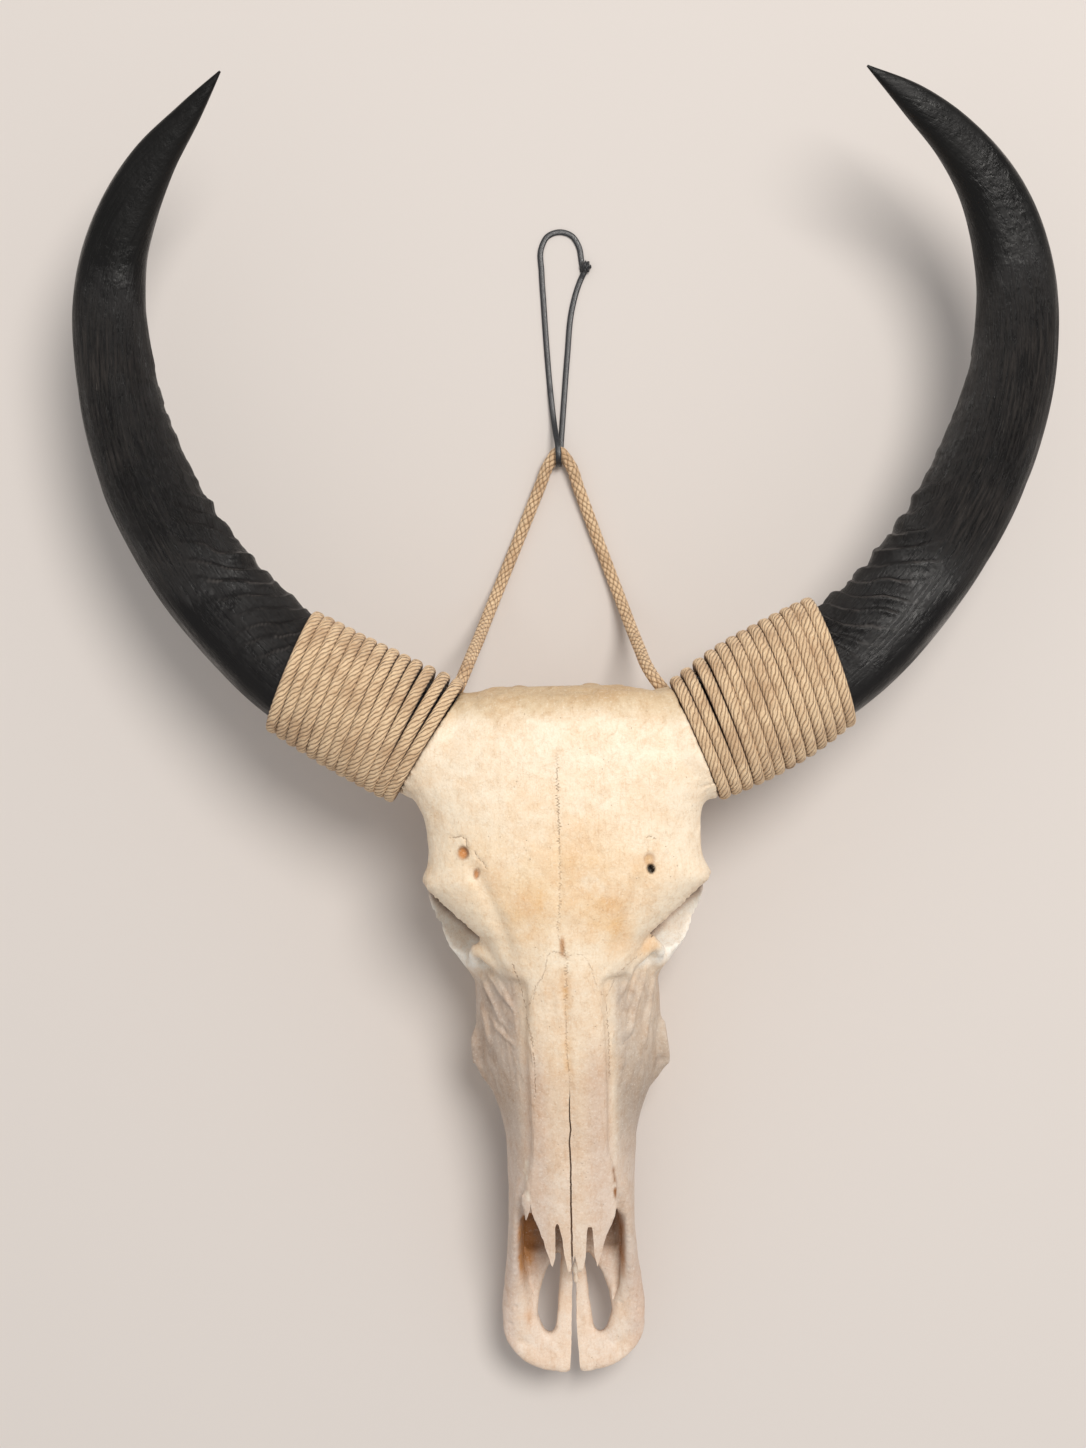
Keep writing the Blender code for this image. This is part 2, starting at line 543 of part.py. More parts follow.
def nasal_cutter(name, side, inner, grow, work):
    """A block over one nasal bone, or over both where side is 0, from under the bone to well above it."""
    roof = along_stations(NASAL_ROOF, 60)
    places = np.linspace(NASAL_EDGE[0][0], NASAL_EDGE[-1][0], 80)
    edges = smooth_through(sorted(NASAL_EDGE), places)
    mouth = smooth_through(sorted(NOSE_MOUTH), np.minimum(places, NOSE_MOUTH[0][0]))
    rings = []
    for y, (left, right), (left_wall, right_wall) in zip(places, edges, mouth):
        top, thick = np.interp(y, roof[:, 0], roof[:, 2]), np.interp(y, roof[:, 0], roof[:, 3])
        free = y < NASAL_FREE
        low = top - thick - FREE_GAP if free else top - min(thick, NASAL_THICKNESS)
        low, high = low - grow, top + NASAL_COVER
        if side == 0:
            a, b = (-left_wall, right_wall) if free else (-left - 1.5 * grow, right + 1.5 * grow)
            mid = 0
        else:
            a, b = (-left, -inner) if side < 0 else (inner, right)
            mid = (a + b) / 2
        low_a, low_b = low - nasal_sag(y, a), low - nasal_sag(y, b)
        low_mid = low if side == 0 else (low_a + low_b) / 2
        under = [(a, y, low_a), (mid, y, low_mid), (b, y, low_b)]
        rings.append(np.array(under + [(b, y, high), (a, y, high)]) * MM)
    if grow:
        rings.insert(0, rings[0] + np.array([0, grow, 0]) * MM)
        rings.append(rings[-1] - np.array([0, NASAL_COVER, 0]) * MM)
    return loft(name, rings, work)


def part_skull(skull, work):
    """Parts the fused skull along its seams with thin cuts."""
    nodes = {}
    for side, word in ((-1, "left"), (1, "right")):
        piece = copy_of(skull, "nasal_" + word, work)
        boolean(piece, [nasal_cutter("keep", side, GAP, 0, work)], "INTERSECT")
        for notch in NASAL_NOTCHES:
            boolean(piece, [prism("notch", notch, 60, HIGH, work)], "DIFFERENCE")
        nodes[piece.name] = keep_largest(piece)
    boolean(skull, [nasal_cutter("clear", 0, 0, GAP, work)], "DIFFERENCE")
    front = copy_of(skull, "premaxilla", work)
    seam = PREMAXILLA_SEAM
    boolean(front, [side_prism("keep", seam + [(FRONT_END, -20), (FRONT_END, HIGH)], FAR, work)], "INTERSECT")
    back = [(y + GAP, z) for y, z in seam] + [(FRONT_END, -20), (FRONT_END, HIGH)]
    boolean(skull, [side_prism("clear", back, FAR, work)], "DIFFERENCE")
    jaw = copy_of(skull, "upper_jaw", work)
    seam = JAW_SEAM
    boolean(jaw, [side_prism("keep", seam + [(FRONT_END, -20), (FRONT_END, HIGH)], FAR, work)], "INTERSECT")
    back = [(y + GAP, z) for y, z in seam] + [(FRONT_END, -20), (FRONT_END, HIGH)]
    boolean(skull, [side_prism("clear", back, FAR, work)], "DIFFERENCE")
    for side, word in ((-1, "left"), (1, "right")):
        cleft = [(right if side > 0 else left, y) for y, left, right in MIDLINE_CLEFT]
        piece = copy_of(front, "premaxilla_" + word, work)
        outline = cleft + [(side * FAR, FRONT_END), (side * FAR, -HIGH), (cleft[0][0], -HIGH)]
        boolean(piece, [prism("keep", outline, -20, HIGH, work)], "INTERSECT")
        nodes[piece.name] = keep_largest(piece)
        piece = copy_of(jaw, "upper_jaw_" + word, work)
        inner, outer = side * GAP / 2, side * FAR
        outline = [(inner, FAR), (inner, FRONT_END), (outer, FRONT_END), (outer, FAR)]
        boolean(piece, [prism("keep", outline, -20, HIGH, work)], "INTERSECT")
        nodes[piece.name] = keep_largest(piece)
    for spare in (front, jaw):
        bpy.data.objects.remove(spare)
    skull.name = "cranium"
    nodes["cranium"] = keep_largest(skull)
    return nodes


def tooth(side, front, length, width, across, work):
    """A cheek tooth with two lobes on its cheek side, its root well inside the jaw."""
    out = across + width / 2
    inner = across - width / 2
    back = front + length
    mid = (front + back) / 2
    lobe = 0.13 * width
    outline = [(out - lobe, front), (out, (3 * front + mid) / 4), (out - lobe, mid),
               (out, (mid + 3 * back) / 4),
               (out - lobe, back), (inner + 1.5 * lobe, back), (inner, (mid + back) / 2), (inner + lobe, mid),
               (inner, (front + mid) / 2), (inner + 1.5 * lobe, front)]
    return prism("tooth", [(side * x, y) for x, y in outline], -FOOT_DEPTH, TOOTH_ROOT_TOP, work)


def add_teeth(jaw, side, work):
    front = TOOTH_ROW_FRONT
    teeth = []
    for length, width, across in TEETH:
        teeth.append(tooth(side, front, length - TOOTH_SPACE, width, across, work))
        front += length
    boolean(jaw, teeth, "UNION")
    return keep_largest(jaw)


def trim_at_floor(obj, work):
    outline = [(-600, -900), (600, -900), (600, 900), (-600, 900)]
    return boolean(obj, [prism("floor", outline, -60, 0, work)], "DIFFERENCE")


def horn_frame(rows, wraps, i):
    """Directions across and through the horn at a row, turned to the rope's angle where the rope holds it."""
    ahead = rows[min(i + 1, len(rows) - 1), :3] - rows[max(i - 1, 0), :3]
    side = 1 if rows[0, 0] > 0 else -1
    along = math.degrees(math.atan2(ahead[1], side * ahead[0]))
    gone = np.linalg.norm(rows[i, :3] - rows[0, :3])
    held = np.clip(1 - (gone - 60) / 60, 0, 1) if gone > 60 else 1
    angle = math.radians(wraps[0][4] * held + along * (1 - held))
    outward = np.array([side * math.sin(angle), -math.cos(angle), 0])
    flat = np.array([side * math.cos(angle), math.sin(angle), 0])
    rise = math.atan2(ahead[2], np.hypot(ahead[0], ahead[1])) * (1 - held)
    through = np.array([0, 0, 1]) * math.cos(rise) - flat * math.sin(rise)
    return outward, through


def horn_section(sides):
    """Across and through, from -1 to 1: oval, with a keel between the front face and the outer edge."""
    a = np.arange(sides) * 2 * math.pi / sides
    out = 1 + HORN_KEEL * np.exp(-(((a - math.radians(48)) / 0.36) ** 2))
    x, z = power(np.cos(a), 0.92) * out, power(np.sin(a), 0.92) * out
    return x / np.abs(x).max(), z


def horn(name, stations, wraps, grow, work):
    rows = along_route(stations, HORN_RINGS)
    across, through = horn_section(HORN_SIDES)
    rings = []
    for i, row in enumerate(rows):
        outward, up = horn_frame(rows, wraps, i)
        half = row[3] + grow
        ring = row[:3] + np.outer(across * half, outward) + np.outer(through * (row[3] * HORN_DEPTH + grow), up)
        rings.append(ring * MM)
    if grow:
        back = (rings[0].mean(0) - rings[1].mean(0)) * 0.5
        rings.insert(0, rings[0] + back)
    return loft(name, rings, work)


def wrap_rings(stations, grow, ridged):
    """Rings of the rope winding, one on each turn's crest and one in each groove between turns."""
    count = 2 * WRAP_TURNS + 1 if ridged else 10
    rows = along_route(stations, count)
    side = 1 if rows[0, 0] > 0 else -1
    a = np.arange(WRAP_SIDES) * 2 * math.pi / WRAP_SIDES
    rings = []
    for i, row in enumerate(rows):
        angle = math.radians(row[4])
        outward = np.array([side * math.sin(angle), -math.cos(angle), 0])
        groove = 0.22 * ROPE_DIAMETER / MM if ridged and i % 2 == 0 else 0
        half = row[3] + grow - groove
        depth = row[3] * WRAP_DEPTH + grow - groove
        ring = row[:3] + np.outer(np.cos(a) * half, outward) + np.outer(np.sin(a) * depth, (0, 0, 1))
        rings.append(ring * MM)
    return rings


def wrap_cutter(stations, grow, work):
    """The space that a winding and the horn in it take, a little larger, to clear what they touch."""
    rings = wrap_rings(stations, grow, False)
    first = rings[0].mean(0) - rings[1].mean(0)
    first = first / np.linalg.norm(first) * grow * MM
    rings[0] = rings[0] + first
    last = rings[-1] + (rings[-1].mean(0) - rings[-2].mean(0))
    return loft("wrap_space", rings + [last], work)


def wrap(name, stations, horn_rows, work):
    sleeve = loft(name, wrap_rings(stations, 0, True), work)
    boolean(sleeve, [horn("bore", horn_rows, stations, BORE_GAP, work)], "DIFFERENCE")
    return keep_largest(sleeve)


def cord(name, route, diameter, count, work):
    """A round cord on a smooth line through its route, as a mesh with closed ends."""
    points = along_route(route, count) * MM
    curve = bpy.data.curves.new(name, "CURVE")
    curve.dimensions = "3D"
    curve.bevel_depth = diameter / 2 * MM
    curve.bevel_resolution = 2
    curve.use_fill_caps = True
    line = curve.splines.new("POLY")
    line.points.add(len(points) - 1)
    for knot, point in zip(line.points, points):
        knot.co = (*point, 1)
    held = bpy.data.objects.new(name, curve)
    work.objects.link(held)
    mesh = evaluated_mesh(held)
    bpy.data.objects.remove(held)
    bm = bmesh.new()
    bm.from_mesh(mesh)
    bmesh.ops.remove_doubles(bm, verts=bm.verts, dist=1e-6)
    bmesh.ops.recalc_face_normals(bm, faces=bm.faces)
    bm.to_mesh(mesh)
    bm.free()
    made = bpy.data.objects.new(name, mesh)
    work.objects.link(made)
    return made


def to_origin(nodes, loose):
    """Moves all nodes so that the box of the firm ones stands on the floor with its middle over the origin."""
    firm = np.vstack([[tuple(v.co) for v in obj.data.vertices]
                      for name, obj in nodes.items() if name not in loose])
    low, high = firm.min(0), firm.max(0)
    move = Vector((-(low[0] + high[0]) / 2, -(low[1] + high[1]) / 2, -low[2]))
    for obj in nodes.values():
        for v in obj.data.vertices:
            v.co += move
    print("skull frame moved by", [round(c, 5) for c in move])


def main():
    clear_scene()
    part = make_collection("buffalo_skull")
    work = make_collection("cutters")
    bone = make_material("bone", (0.83, 0.70, 0.52), 0.6)
    tusk = make_material("horn", (0.035, 0.030, 0.027), 0.45)
    rope = make_material("jute", (0.50, 0.36, 0.21), 0.9)
    lace = make_material("black_cord", (0.012, 0.012, 0.014), 0.35)
    skull = build_skull(work)
    sides = {"left": (HORN_LEFT, WRAP_LEFT), "right": (HORN_RIGHT, WRAP_RIGHT)}
    for rows, wraps in sides.values():
        boolean(skull, [wrap_cutter(wraps, ROPE_GAP, work)], "DIFFERENCE")
    nodes = part_skull(skull, work)
    for word, side in (("left", -1), ("right", 1)):
        add_teeth(nodes["upper_jaw_" + word], side, work)
        trim_at_floor(nodes["upper_jaw_" + word], work)
    trim_at_floor(nodes["cranium"], work)
    finishes = {name: bone for name in nodes}
    for word, (rows, wraps) in sides.items():
        nodes["horn_" + word] = horn("horn_" + word, rows, wraps, 0, work)
        finishes["horn_" + word] = tusk
        nodes["wrap_" + word] = wrap("wrap_" + word, wraps, rows, work)
        finishes["wrap_" + word] = rope
    hanger = cord("hanger_rope", HANGER_ROUTE, HANGER_DIAMETER, HANGER_POINTS, work)
    for rows, wraps in sides.values():
        boolean(hanger, [wrap_cutter(wraps, ROPE_GAP, work)], "DIFFERENCE")
    nodes["hanger_rope"] = keep_largest(hanger)
    lace_line = cord("hanger_cord", CORD_ROUTE, CORD_DIAMETER, CORD_POINTS, work)
    clear = [r + ROPE_GAP for r in KNOT_RADII]
    boolean(lace_line, [ellipsoid("knot_space", KNOT_CENTRE, clear, work, 12)], "DIFFERENCE")
    nodes["hanger_cord"] = keep_largest(lace_line)
    nodes["cord_knot"] = ellipsoid("cord_knot", KNOT_CENTRE, KNOT_RADII, work, 12)
    finishes.update(hanger_rope=rope, hanger_cord=lace, cord_knot=lace)
    to_origin(nodes, ("hanger_rope", "hanger_cord", "cord_knot"))
    for name, obj in nodes.items():
        keep_largest(obj)
        finish_node(obj, finishes[name], part)
        print(name, len(obj.data.polygons))


main()
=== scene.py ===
import json
import math

import bmesh
import bpy
import numpy as np
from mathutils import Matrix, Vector

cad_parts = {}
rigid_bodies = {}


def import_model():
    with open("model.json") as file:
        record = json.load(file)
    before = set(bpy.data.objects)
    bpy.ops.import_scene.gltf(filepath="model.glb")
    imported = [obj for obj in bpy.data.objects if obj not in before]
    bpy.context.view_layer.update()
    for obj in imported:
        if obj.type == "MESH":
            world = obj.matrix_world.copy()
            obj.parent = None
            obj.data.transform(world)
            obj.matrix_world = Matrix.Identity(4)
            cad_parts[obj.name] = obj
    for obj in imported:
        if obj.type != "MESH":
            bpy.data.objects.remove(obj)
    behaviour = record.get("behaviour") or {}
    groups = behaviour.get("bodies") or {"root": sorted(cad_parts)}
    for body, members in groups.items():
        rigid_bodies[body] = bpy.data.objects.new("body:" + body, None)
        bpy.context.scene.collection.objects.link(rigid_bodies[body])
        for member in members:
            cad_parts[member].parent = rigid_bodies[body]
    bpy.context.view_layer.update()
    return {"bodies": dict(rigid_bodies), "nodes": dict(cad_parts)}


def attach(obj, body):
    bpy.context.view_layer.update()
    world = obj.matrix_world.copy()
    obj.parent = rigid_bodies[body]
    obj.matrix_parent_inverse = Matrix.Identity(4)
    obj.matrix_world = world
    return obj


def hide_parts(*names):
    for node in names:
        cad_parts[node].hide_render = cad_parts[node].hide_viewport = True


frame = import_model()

# A buffalo's skull with rope round its horn bases, lying face up, seen from straight above.
# Tables are in millimetres in the skull's own frame: x = 0 on its middle plane, y towards the horn tips,
# z = 0 on the floor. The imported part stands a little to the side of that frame.
skullShift = np.array([-17.87, 11.68, 0.0])
mm = 0.001


def toRow(points):
    # From the skull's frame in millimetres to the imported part's in metres.
    return (np.asarray(points, float) + skullShift) * mm


def toSkull(points):
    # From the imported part's frame in metres to the skull's in millimetres.
    return np.asarray(points, float) / mm - skullShift


def putObject(name, data):
    # An object round the data, put into the scene.
    made = bpy.data.objects.new(name, data)
    bpy.context.scene.collection.objects.link(made)
    return made


camera = {"height": 2.19, "aside": (-0.02807, 0.01168), "roll": -0.0299, "lens": 62.155, "sensor": 36}

lens = bpy.data.cameras.new("camera")
lens.lens = camera["lens"]
lens.sensor_width = camera["sensor"]
viewer = putObject("camera", lens)
viewer.location = (*camera["aside"], camera["height"])
viewer.rotation_euler = (0, 0, camera["roll"])
bpy.context.scene.camera = viewer
print("camera is in place")


def smoothThrough(rows, at):
    # Cubic through rows of numbers: each row's first number is its place, slopes come from its neighbours.
    rows = np.asarray(rows, float)
    place, values = rows[:, 0], rows[:, 1:]
    slope = np.gradient(values, place, axis=0)
    at = np.clip(at, place[0], place[-1])
    i = np.clip(np.searchsorted(place, at) - 1, 0, len(place) - 2)
    step = (place[i + 1] - place[i])[:, None]
    t = ((at - place[i]) / (place[i + 1] - place[i]))[:, None]
    return ((2 * t**3 - 3 * t**2 + 1) * values[i] + (t**3 - 2 * t**2 + t) * step * slope[i]
            + (3 * t**2 - 2 * t**3) * values[i + 1] + (t**3 - t**2) * step * slope[i + 1])


def distances(line):
    # How far along the line each of its points stands: the running sum of the steps between them.
    return np.r_[0, np.cumsum(np.linalg.norm(np.diff(line, axis=0), axis=1))]


def lengthOf(line):
    # The last of those distances.
    return float(distances(line)[-1])


def alongRoute(points, count):
    # The same cubic through points in space, read at even shares of the distance along them.
    rows = np.asarray(points, float)
    gone = distances(rows[:, :3])
    return smoothThrough(np.column_stack([gone, rows]), np.linspace(0, gone[-1], count))


def evenly(points, step):
    # The points again, at an even step along their line.
    points = np.asarray(points, float)
    gone = distances(points[:, :3])
    at = np.linspace(0, gone[-1], max(int(round(gone[-1] / step)), 2) + 1)
    return np.column_stack([np.interp(at, gone, column) for column in points.T])


def unit(v):
    # Each vector over its own length.
    return v / np.maximum(np.linalg.norm(v, axis=-1, keepdims=True), 1e-12)


def fullTurn(count):
    # Angles evenly round a circle: 2 pi k / count.
    return np.arange(count) * 2 * math.pi / count


def step01(value, low, high):
    # Smooth step: 0 below low, 1 above high, and 3t^2 - 2t^3 between them.
    t = np.clip((value - low) / (high - low), 0, 1)
    return t * t * (3 - 2 * t)


def fall(value, low, high):
    # The same step downwards: 1 below low, 0 above high.
    return step01(-value, -high, -low)


def between(value, a, b, c, d):
    # 1 from b to c, easing to 0 at a and at d.
    return step01(value, a, b) * fall(value, c, d)


def hump(off, width):
    # A bell curve: exp(-(off / width)^2).
    return np.exp(-((off / width) ** 2))


def arch(place):
    # A round arch over each whole step: sqrt(1 - (2f - 1)^2), f being the part after the whole number.
    return np.sqrt(np.clip(1 - (2 * (place - np.floor(place)) - 1) ** 2, 0, 1))


def rounded(wave, power):
    # The wave with its sign kept and its size raised to a power, which squares or thins an oval.
    return np.sign(wave) * np.abs(wave) ** power


def latticeNoise(points, size, seed):
    # Value noise from -1 to 1: random numbers on a lattice of the given cell size, eased between corners. Each
    # corner's number comes from its own cell numbers, multiplied by large odd factors and folded twice.
    p = np.asarray(points, float) / size + 100.5 + seed * 17.31
    cell = np.floor(p).astype(np.int64)
    f = p - cell
    f = f * f * f * (f * (f * 6 - 15) + 10)
    total, most = np.zeros(len(p)), 0x7FFFFFFF
    for corner in range(8):
        bits = np.array([corner & 1, corner >> 1 & 1, corner >> 2 & 1])
        c = cell + bits
        h = (c[:, 0] * 374761393 + c[:, 1] * 668265263 + c[:, 2] * 1274126177 + seed * 974634777) & most
        h = ((h ^ (h >> 13)) * 1103515245 + 12345) & most
        h = ((h ^ (h >> 16)) * 69069 + 1) & most
        total += np.prod(np.where(bits, f, 1 - f), axis=1) * (h / 0x3FFFFFFF - 1)
    return total


def layeredNoise(points, size, seed, layers=3):
    # A few sizes of that noise, each half the size and half the strength of the one before.
    total = sum(latticeNoise(points, size / 2**k, seed + k) / 2**k for k in range(layers))
    return total / sum(0.5**k for k in range(layers))


def grain(seed, x, y=0.0, z=0.0):
    # The same noise in cells of 1, over arrays of any one shape, so that each axis can have its own stretch.
    x, y, z = np.broadcast_arrays(x, y, z)
    return latticeNoise(np.column_stack([x.ravel(), y.ravel(), z.ravel()]), 1.0, seed).reshape(x.shape)


def facing(line, towards):
    # Sideways and upward directions at each point of a line: up is the wanted direction made square to the line.
    ahead = unit(np.gradient(line, axis=0))
    up = unit(towards - ahead * np.einsum("ij,ij->i", towards, ahead)[:, None])
    return np.cross(ahead, up), up


def carried(line, side, up, wide, high):
    # A section carried along a line: the line's point, plus a width sideways and a height upwards.
    return (line[:, None] + side[:, None] * wide[..., None] + up[:, None] * high[..., None]).reshape(-1, 3)


def tubeFaces(rings, sides, start=0):
    # Quads between neighbouring rings, closed round, with one flat face at each end.
    i, j = np.meshgrid(np.arange(rings - 1), np.arange(sides), indexing="ij")
    here, after = start + i * sides, (j + 1) % sides
    quads = np.stack([here + j, here + after, here + sides + after, here + sides + j], -1).reshape(-1, 4)
    last = start + (rings - 1) * sides
    ends = [tuple(range(start + sides - 1, start - 1, -1)), tuple(range(last, last + sides))]
    return [tuple(f) for f in quads.tolist()] + ends


def putAttribute(mesh, key, values):
    # A number, a place (3 numbers) or a colour (4 numbers) at each point of the mesh.
    values = np.asarray(values, np.float32)
    kinds = {1: ("FLOAT", "value"), 3: ("FLOAT_VECTOR", "vector"), 4: ("FLOAT_COLOR", "color")}
    kind, field = kinds[values.size // len(values)]
    mesh.attributes.new(key, kind, "POINT").data.foreach_set(field, values.ravel())


def putMesh(name, points, faces, material, **attributes):
    # Makes a piece, turns its faces outwards where the volume they close comes out negative, and shades it smooth.
    points = np.asarray(points, float)
    a, b, c, d = points[np.array([f for f in faces if len(f) == 4]).T]
    if (a * (np.cross(b, c) + np.cross(c, d))).sum() < 0:
        faces = [f[::-1] for f in faces]
    mesh = bpy.data.meshes.new(name)
    mesh.from_pydata(points, [], faces)
    mesh.update(calc_edges=True)
    for key, values in attributes.items():
        putAttribute(mesh, key, values)
    mesh.shade_smooth()
    mesh.materials.append(material)
    return putObject(name, mesh)


def finishPiece(piece, slot, *nodes):
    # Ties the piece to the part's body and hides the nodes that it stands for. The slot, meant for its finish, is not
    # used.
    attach(piece, "root" if "root" in frame["bodies"] else next(iter(frame["bodies"])))
    if nodes:
        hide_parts(*nodes)
    return piece


def screen(r, g, b):
    # A colour as read from a screen, 0 to 255, as the linear value that a shader takes.
    c = np.array([r, g, b]) / 255
    return (*np.where(c <= 0.04045, c / 12.92, ((c + 0.055) / 1.055) ** 2.4), 1)


def newMaterial(name, colour, inputs):
    # A material with its plain colour and the fixed values of its shader.
    made = bpy.data.materials.new(name)
    made.use_nodes = True
    shader = made.node_tree.nodes["Principled BSDF"]
    shader.inputs["Base Color"].default_value = screen(*colour)
    for key, value in inputs.items():
        shader.inputs[key].default_value = value
    return made, made.node_tree, shader


def add(tree, kind, inputs=None, **settings):
    # A node with its settings; an input is either a link or a value.
    node = tree.nodes.new("ShaderNode" + kind)
    for key, value in settings.items():
        setattr(node, key, value)
    for key, value in (inputs or {}).items():
        if isinstance(value, bpy.types.NodeSocket):
            tree.links.new(value, node.inputs[key])
        else:
            node.inputs[key].default_value = value
    return node


def sums(tree, operation, a, b=0.0, c=0.0, clamp=False):
    # One sum of up to three numbers.
    return add(tree, "Math", {0: a, 1: b, 2: c}, operation=operation, use_clamp=clamp).outputs[0]


def plus(tree, a, b):
    # a + b
    return sums(tree, "ADD", a, b)


def minus(tree, a, b, clamp=False):
    # a - b
    return sums(tree, "SUBTRACT", a, b, clamp=clamp)


def times(tree, a, b, clamp=False):
    # a b
    return sums(tree, "MULTIPLY", a, b, clamp=clamp)


def spread(tree, value, low, high, toLow=0.0, toHigh=1.0):
    # The value from low to high, eased onto toLow to toHigh.
    return add(tree, "MapRange", {0: value, 1: low, 2: high, 3: toLow, 4: toHigh},
               interpolation_type="SMOOTHSTEP").outputs[0]


def coats(tree, colour, *steps):
    # Colours laid over one another: each step has its share, its colour and, where it isn't plain, how it mixes.
    for share, over, *kind in steps:
        colour = add(tree, "Mix", {0: share, 6: colour, 7: screen(*over)}, data_type="RGBA",
                     blend_type=kind[0] if kind else "MIX").outputs[2]
    return colour


def noise(tree, where, scale, detail=3.0, rough=0.55, stretch=None, twist=0.0):
    # Cloudy noise from 0 to 1, stretched along each axis where a stretch is given.
    if stretch:
        where = add(tree, "Mapping", {"Vector": where, "Scale": stretch}).outputs[0]
    return add(tree, "TexNoise", {"Vector": where, "Scale": scale, "Detail": detail, "Roughness": rough,
                                  "Distortion": twist}).outputs["Fac"]


def attribute(tree, name, kind="Fac"):
    # What the mesh holds under that name.
    return add(tree, "Attribute", attribute_name=name, attribute_type="GEOMETRY").outputs[kind]


def finishShader(tree, shader, colour, height, distance, strength, roughness=None):
    # Links the colour, the roughness where it varies, and the fine relief.
    tree.links.new(colour, shader.inputs["Base Color"])
    if roughness:
        tree.links.new(roughness, shader.inputs["Roughness"])
    bump = add(tree, "Bump", {"Height": height, "Distance": distance, "Strength": strength})
    tree.links.new(bump.outputs[0], shader.inputs["Normal"])


# pale is a painted highlight on the strands' tops; deep is a painted shade between strands and between turns.
rope = {"diameter": 10.6, "carriers": 6, "layLength": 45.0, "strands": 8, "strandLay": 44.0, "relief": 0.15,
        "step": 1.2, "sides": 28, "middle": (205, 166, 126), "pale": (250, 220, 180), "dull": (184, 144, 106),
        "paleFibre": (255, 236, 204), "darkFibre": (148, 108, 72), "deep": (104, 70, 44)}


def strandPattern(tree, laid, where):
    # The strands in the material: the height of the one on top, and its fibres' place along and across it.
    # Laid: strands all wind one way. Braided: two sets wind opposite ways, and are on top in turn.
    parts = add(tree, "SeparateXYZ", {0: attribute(tree, "lay", "Vector")}).outputs
    count, lay = (rope["strands"], rope["strandLay"]) if laid else (rope["carriers"], rope["layLength"])
    turn = times(tree, parts[0], 1 / lay)
    bend = times(tree, minus(tree, noise(tree, where, 80, 3, 0.6), 0.5), 0.2)
    sets = []
    for way in ((1,) if laid else (1, -1)):
        strand = times(tree, plus(tree, plus(tree, parts[1], bend), times(tree, turn, way)), count)
        share = sums(tree, "FRACT", strand)
        off = sums(tree, "MULTIPLY_ADD", share, 2.0, -1.0)
        height = sums(tree, "SQRT", minus(tree, 1.0, times(tree, off, off), True))
        sets.append((share, sums(tree, "FLOOR", strand), height, strand))
    if laid:
        (share, number, height, strand), along = sets[0], times(tree, parts[0], 0.3)
    else:
        (share, number, height, strand), (shareB, numberB, heightB, strandB) = sets
        under = sums(tree, "GREATER_THAN", sums(tree, "PINGPONG", plus(tree, number, numberB), 1.0), 0.5)

        def either(a, b):
            return add(tree, "Mix", {0: under, 2: a, 3: b}, data_type="FLOAT").outputs[0]

        def raised(a, b):
            return times(tree, a, sums(tree, "MULTIPLY_ADD", b, 0.6, 0.4))

        height, share = either(raised(height, heightB), raised(heightB, height)), either(share, shareB)
        number = either(number, sums(tree, "MULTIPLY_ADD", numberB, 1.7, 11.0))
        along = either(strandB, strand)
    across, apart = times(tree, share, 3.4), sums(tree, "MULTIPLY_ADD", number, 1.7, parts[2])
    return height, add(tree, "CombineXYZ", {0: along, 1: across, 2: apart}).outputs[0]


def juteMaterial(name, laid):
    # Painted highlight: pale on top of each strand, mixed with the yarns' own lighter tone. Painted shade: dark
    # between strands, and between the turns of a winding where they lie against each other. Single fibres are lighter
    # and darker along them.
    made, tree, shader = newMaterial(name, rope["middle"], {"Roughness": 0.85, "Sheen Weight": 0.15,
                                                            "Sheen Roughness": 0.5, "Specular IOR Level": 0.3})
    where = add(tree, "TexCoord").outputs["Object"]
    height, lay = strandPattern(tree, laid, where)
    yarn = noise(tree, lay, 1.0, 3, 0.7, stretch=(0.8, 1.3, 1.0))
    fibre = noise(tree, lay, 1.0, 4, 0.75, stretch=(1.8, 5.0, 1.0))
    # Painted highlight on each strand's top, together with the yarn's own lighter tone:
    light = plus(tree, times(tree, yarn, 0.9), times(tree, height, 0.45))
    colour = coats(tree, screen(*rope["middle"]), (spread(tree, light, 0.55, 1.0), rope["pale"]),
                   (spread(tree, noise(tree, where, 45, 3), 0.4, 0.7, 0.0, 0.55), rope["dull"]),
                   (spread(tree, fibre, 0.56, 0.7, 0.0, 0.75), rope["paleFibre"]),
                   (spread(tree, fibre, 0.46, 0.32, 0.0, 0.6), rope["darkFibre"]),
                   # Painted shade in the gaps between strands:
                   (spread(tree, height, 0.62, 0.12, 0.0, 0.62), rope["deep"]),
                   # Painted shade between the turns of a winding:
                   (spread(tree, attribute(tree, "flank"), 0.84, 0.98, 0.0, 0.85), rope["deep"]))
    finishShader(tree, shader, colour, plus(tree, times(tree, height, 1.5), times(tree, fibre, 0.6)), 0.0011, 0.9)
    return made


braidedJute, laidJute = juteMaterial("braidedJute", False), juteMaterial("laidJute", True)


def braidHeight(lengthwise, around):
    # Two sets of yarn bundles wind round the rope in opposite directions. In each cell that they share, one set
    # is on top, in turn. A bundle's height is a round arch across it times a long arch along it.
    one, other = (rope["carriers"] * (around + way * lengthwise / rope["layLength"]) for way in (1, -1))
    p, q = arch(one), arch(other)
    top = (np.floor(one) + np.floor(other)) % 2 < 0.5
    return np.where(top, p * (0.4 + 0.6 * q), q * (0.4 + 0.6 * p))


def laidHeight(lengthwise, around):
    # Strands that all wind the same way: a round arch across each strand.
    return arch(rope["strands"] * (around + lengthwise / rope["strandLay"]))


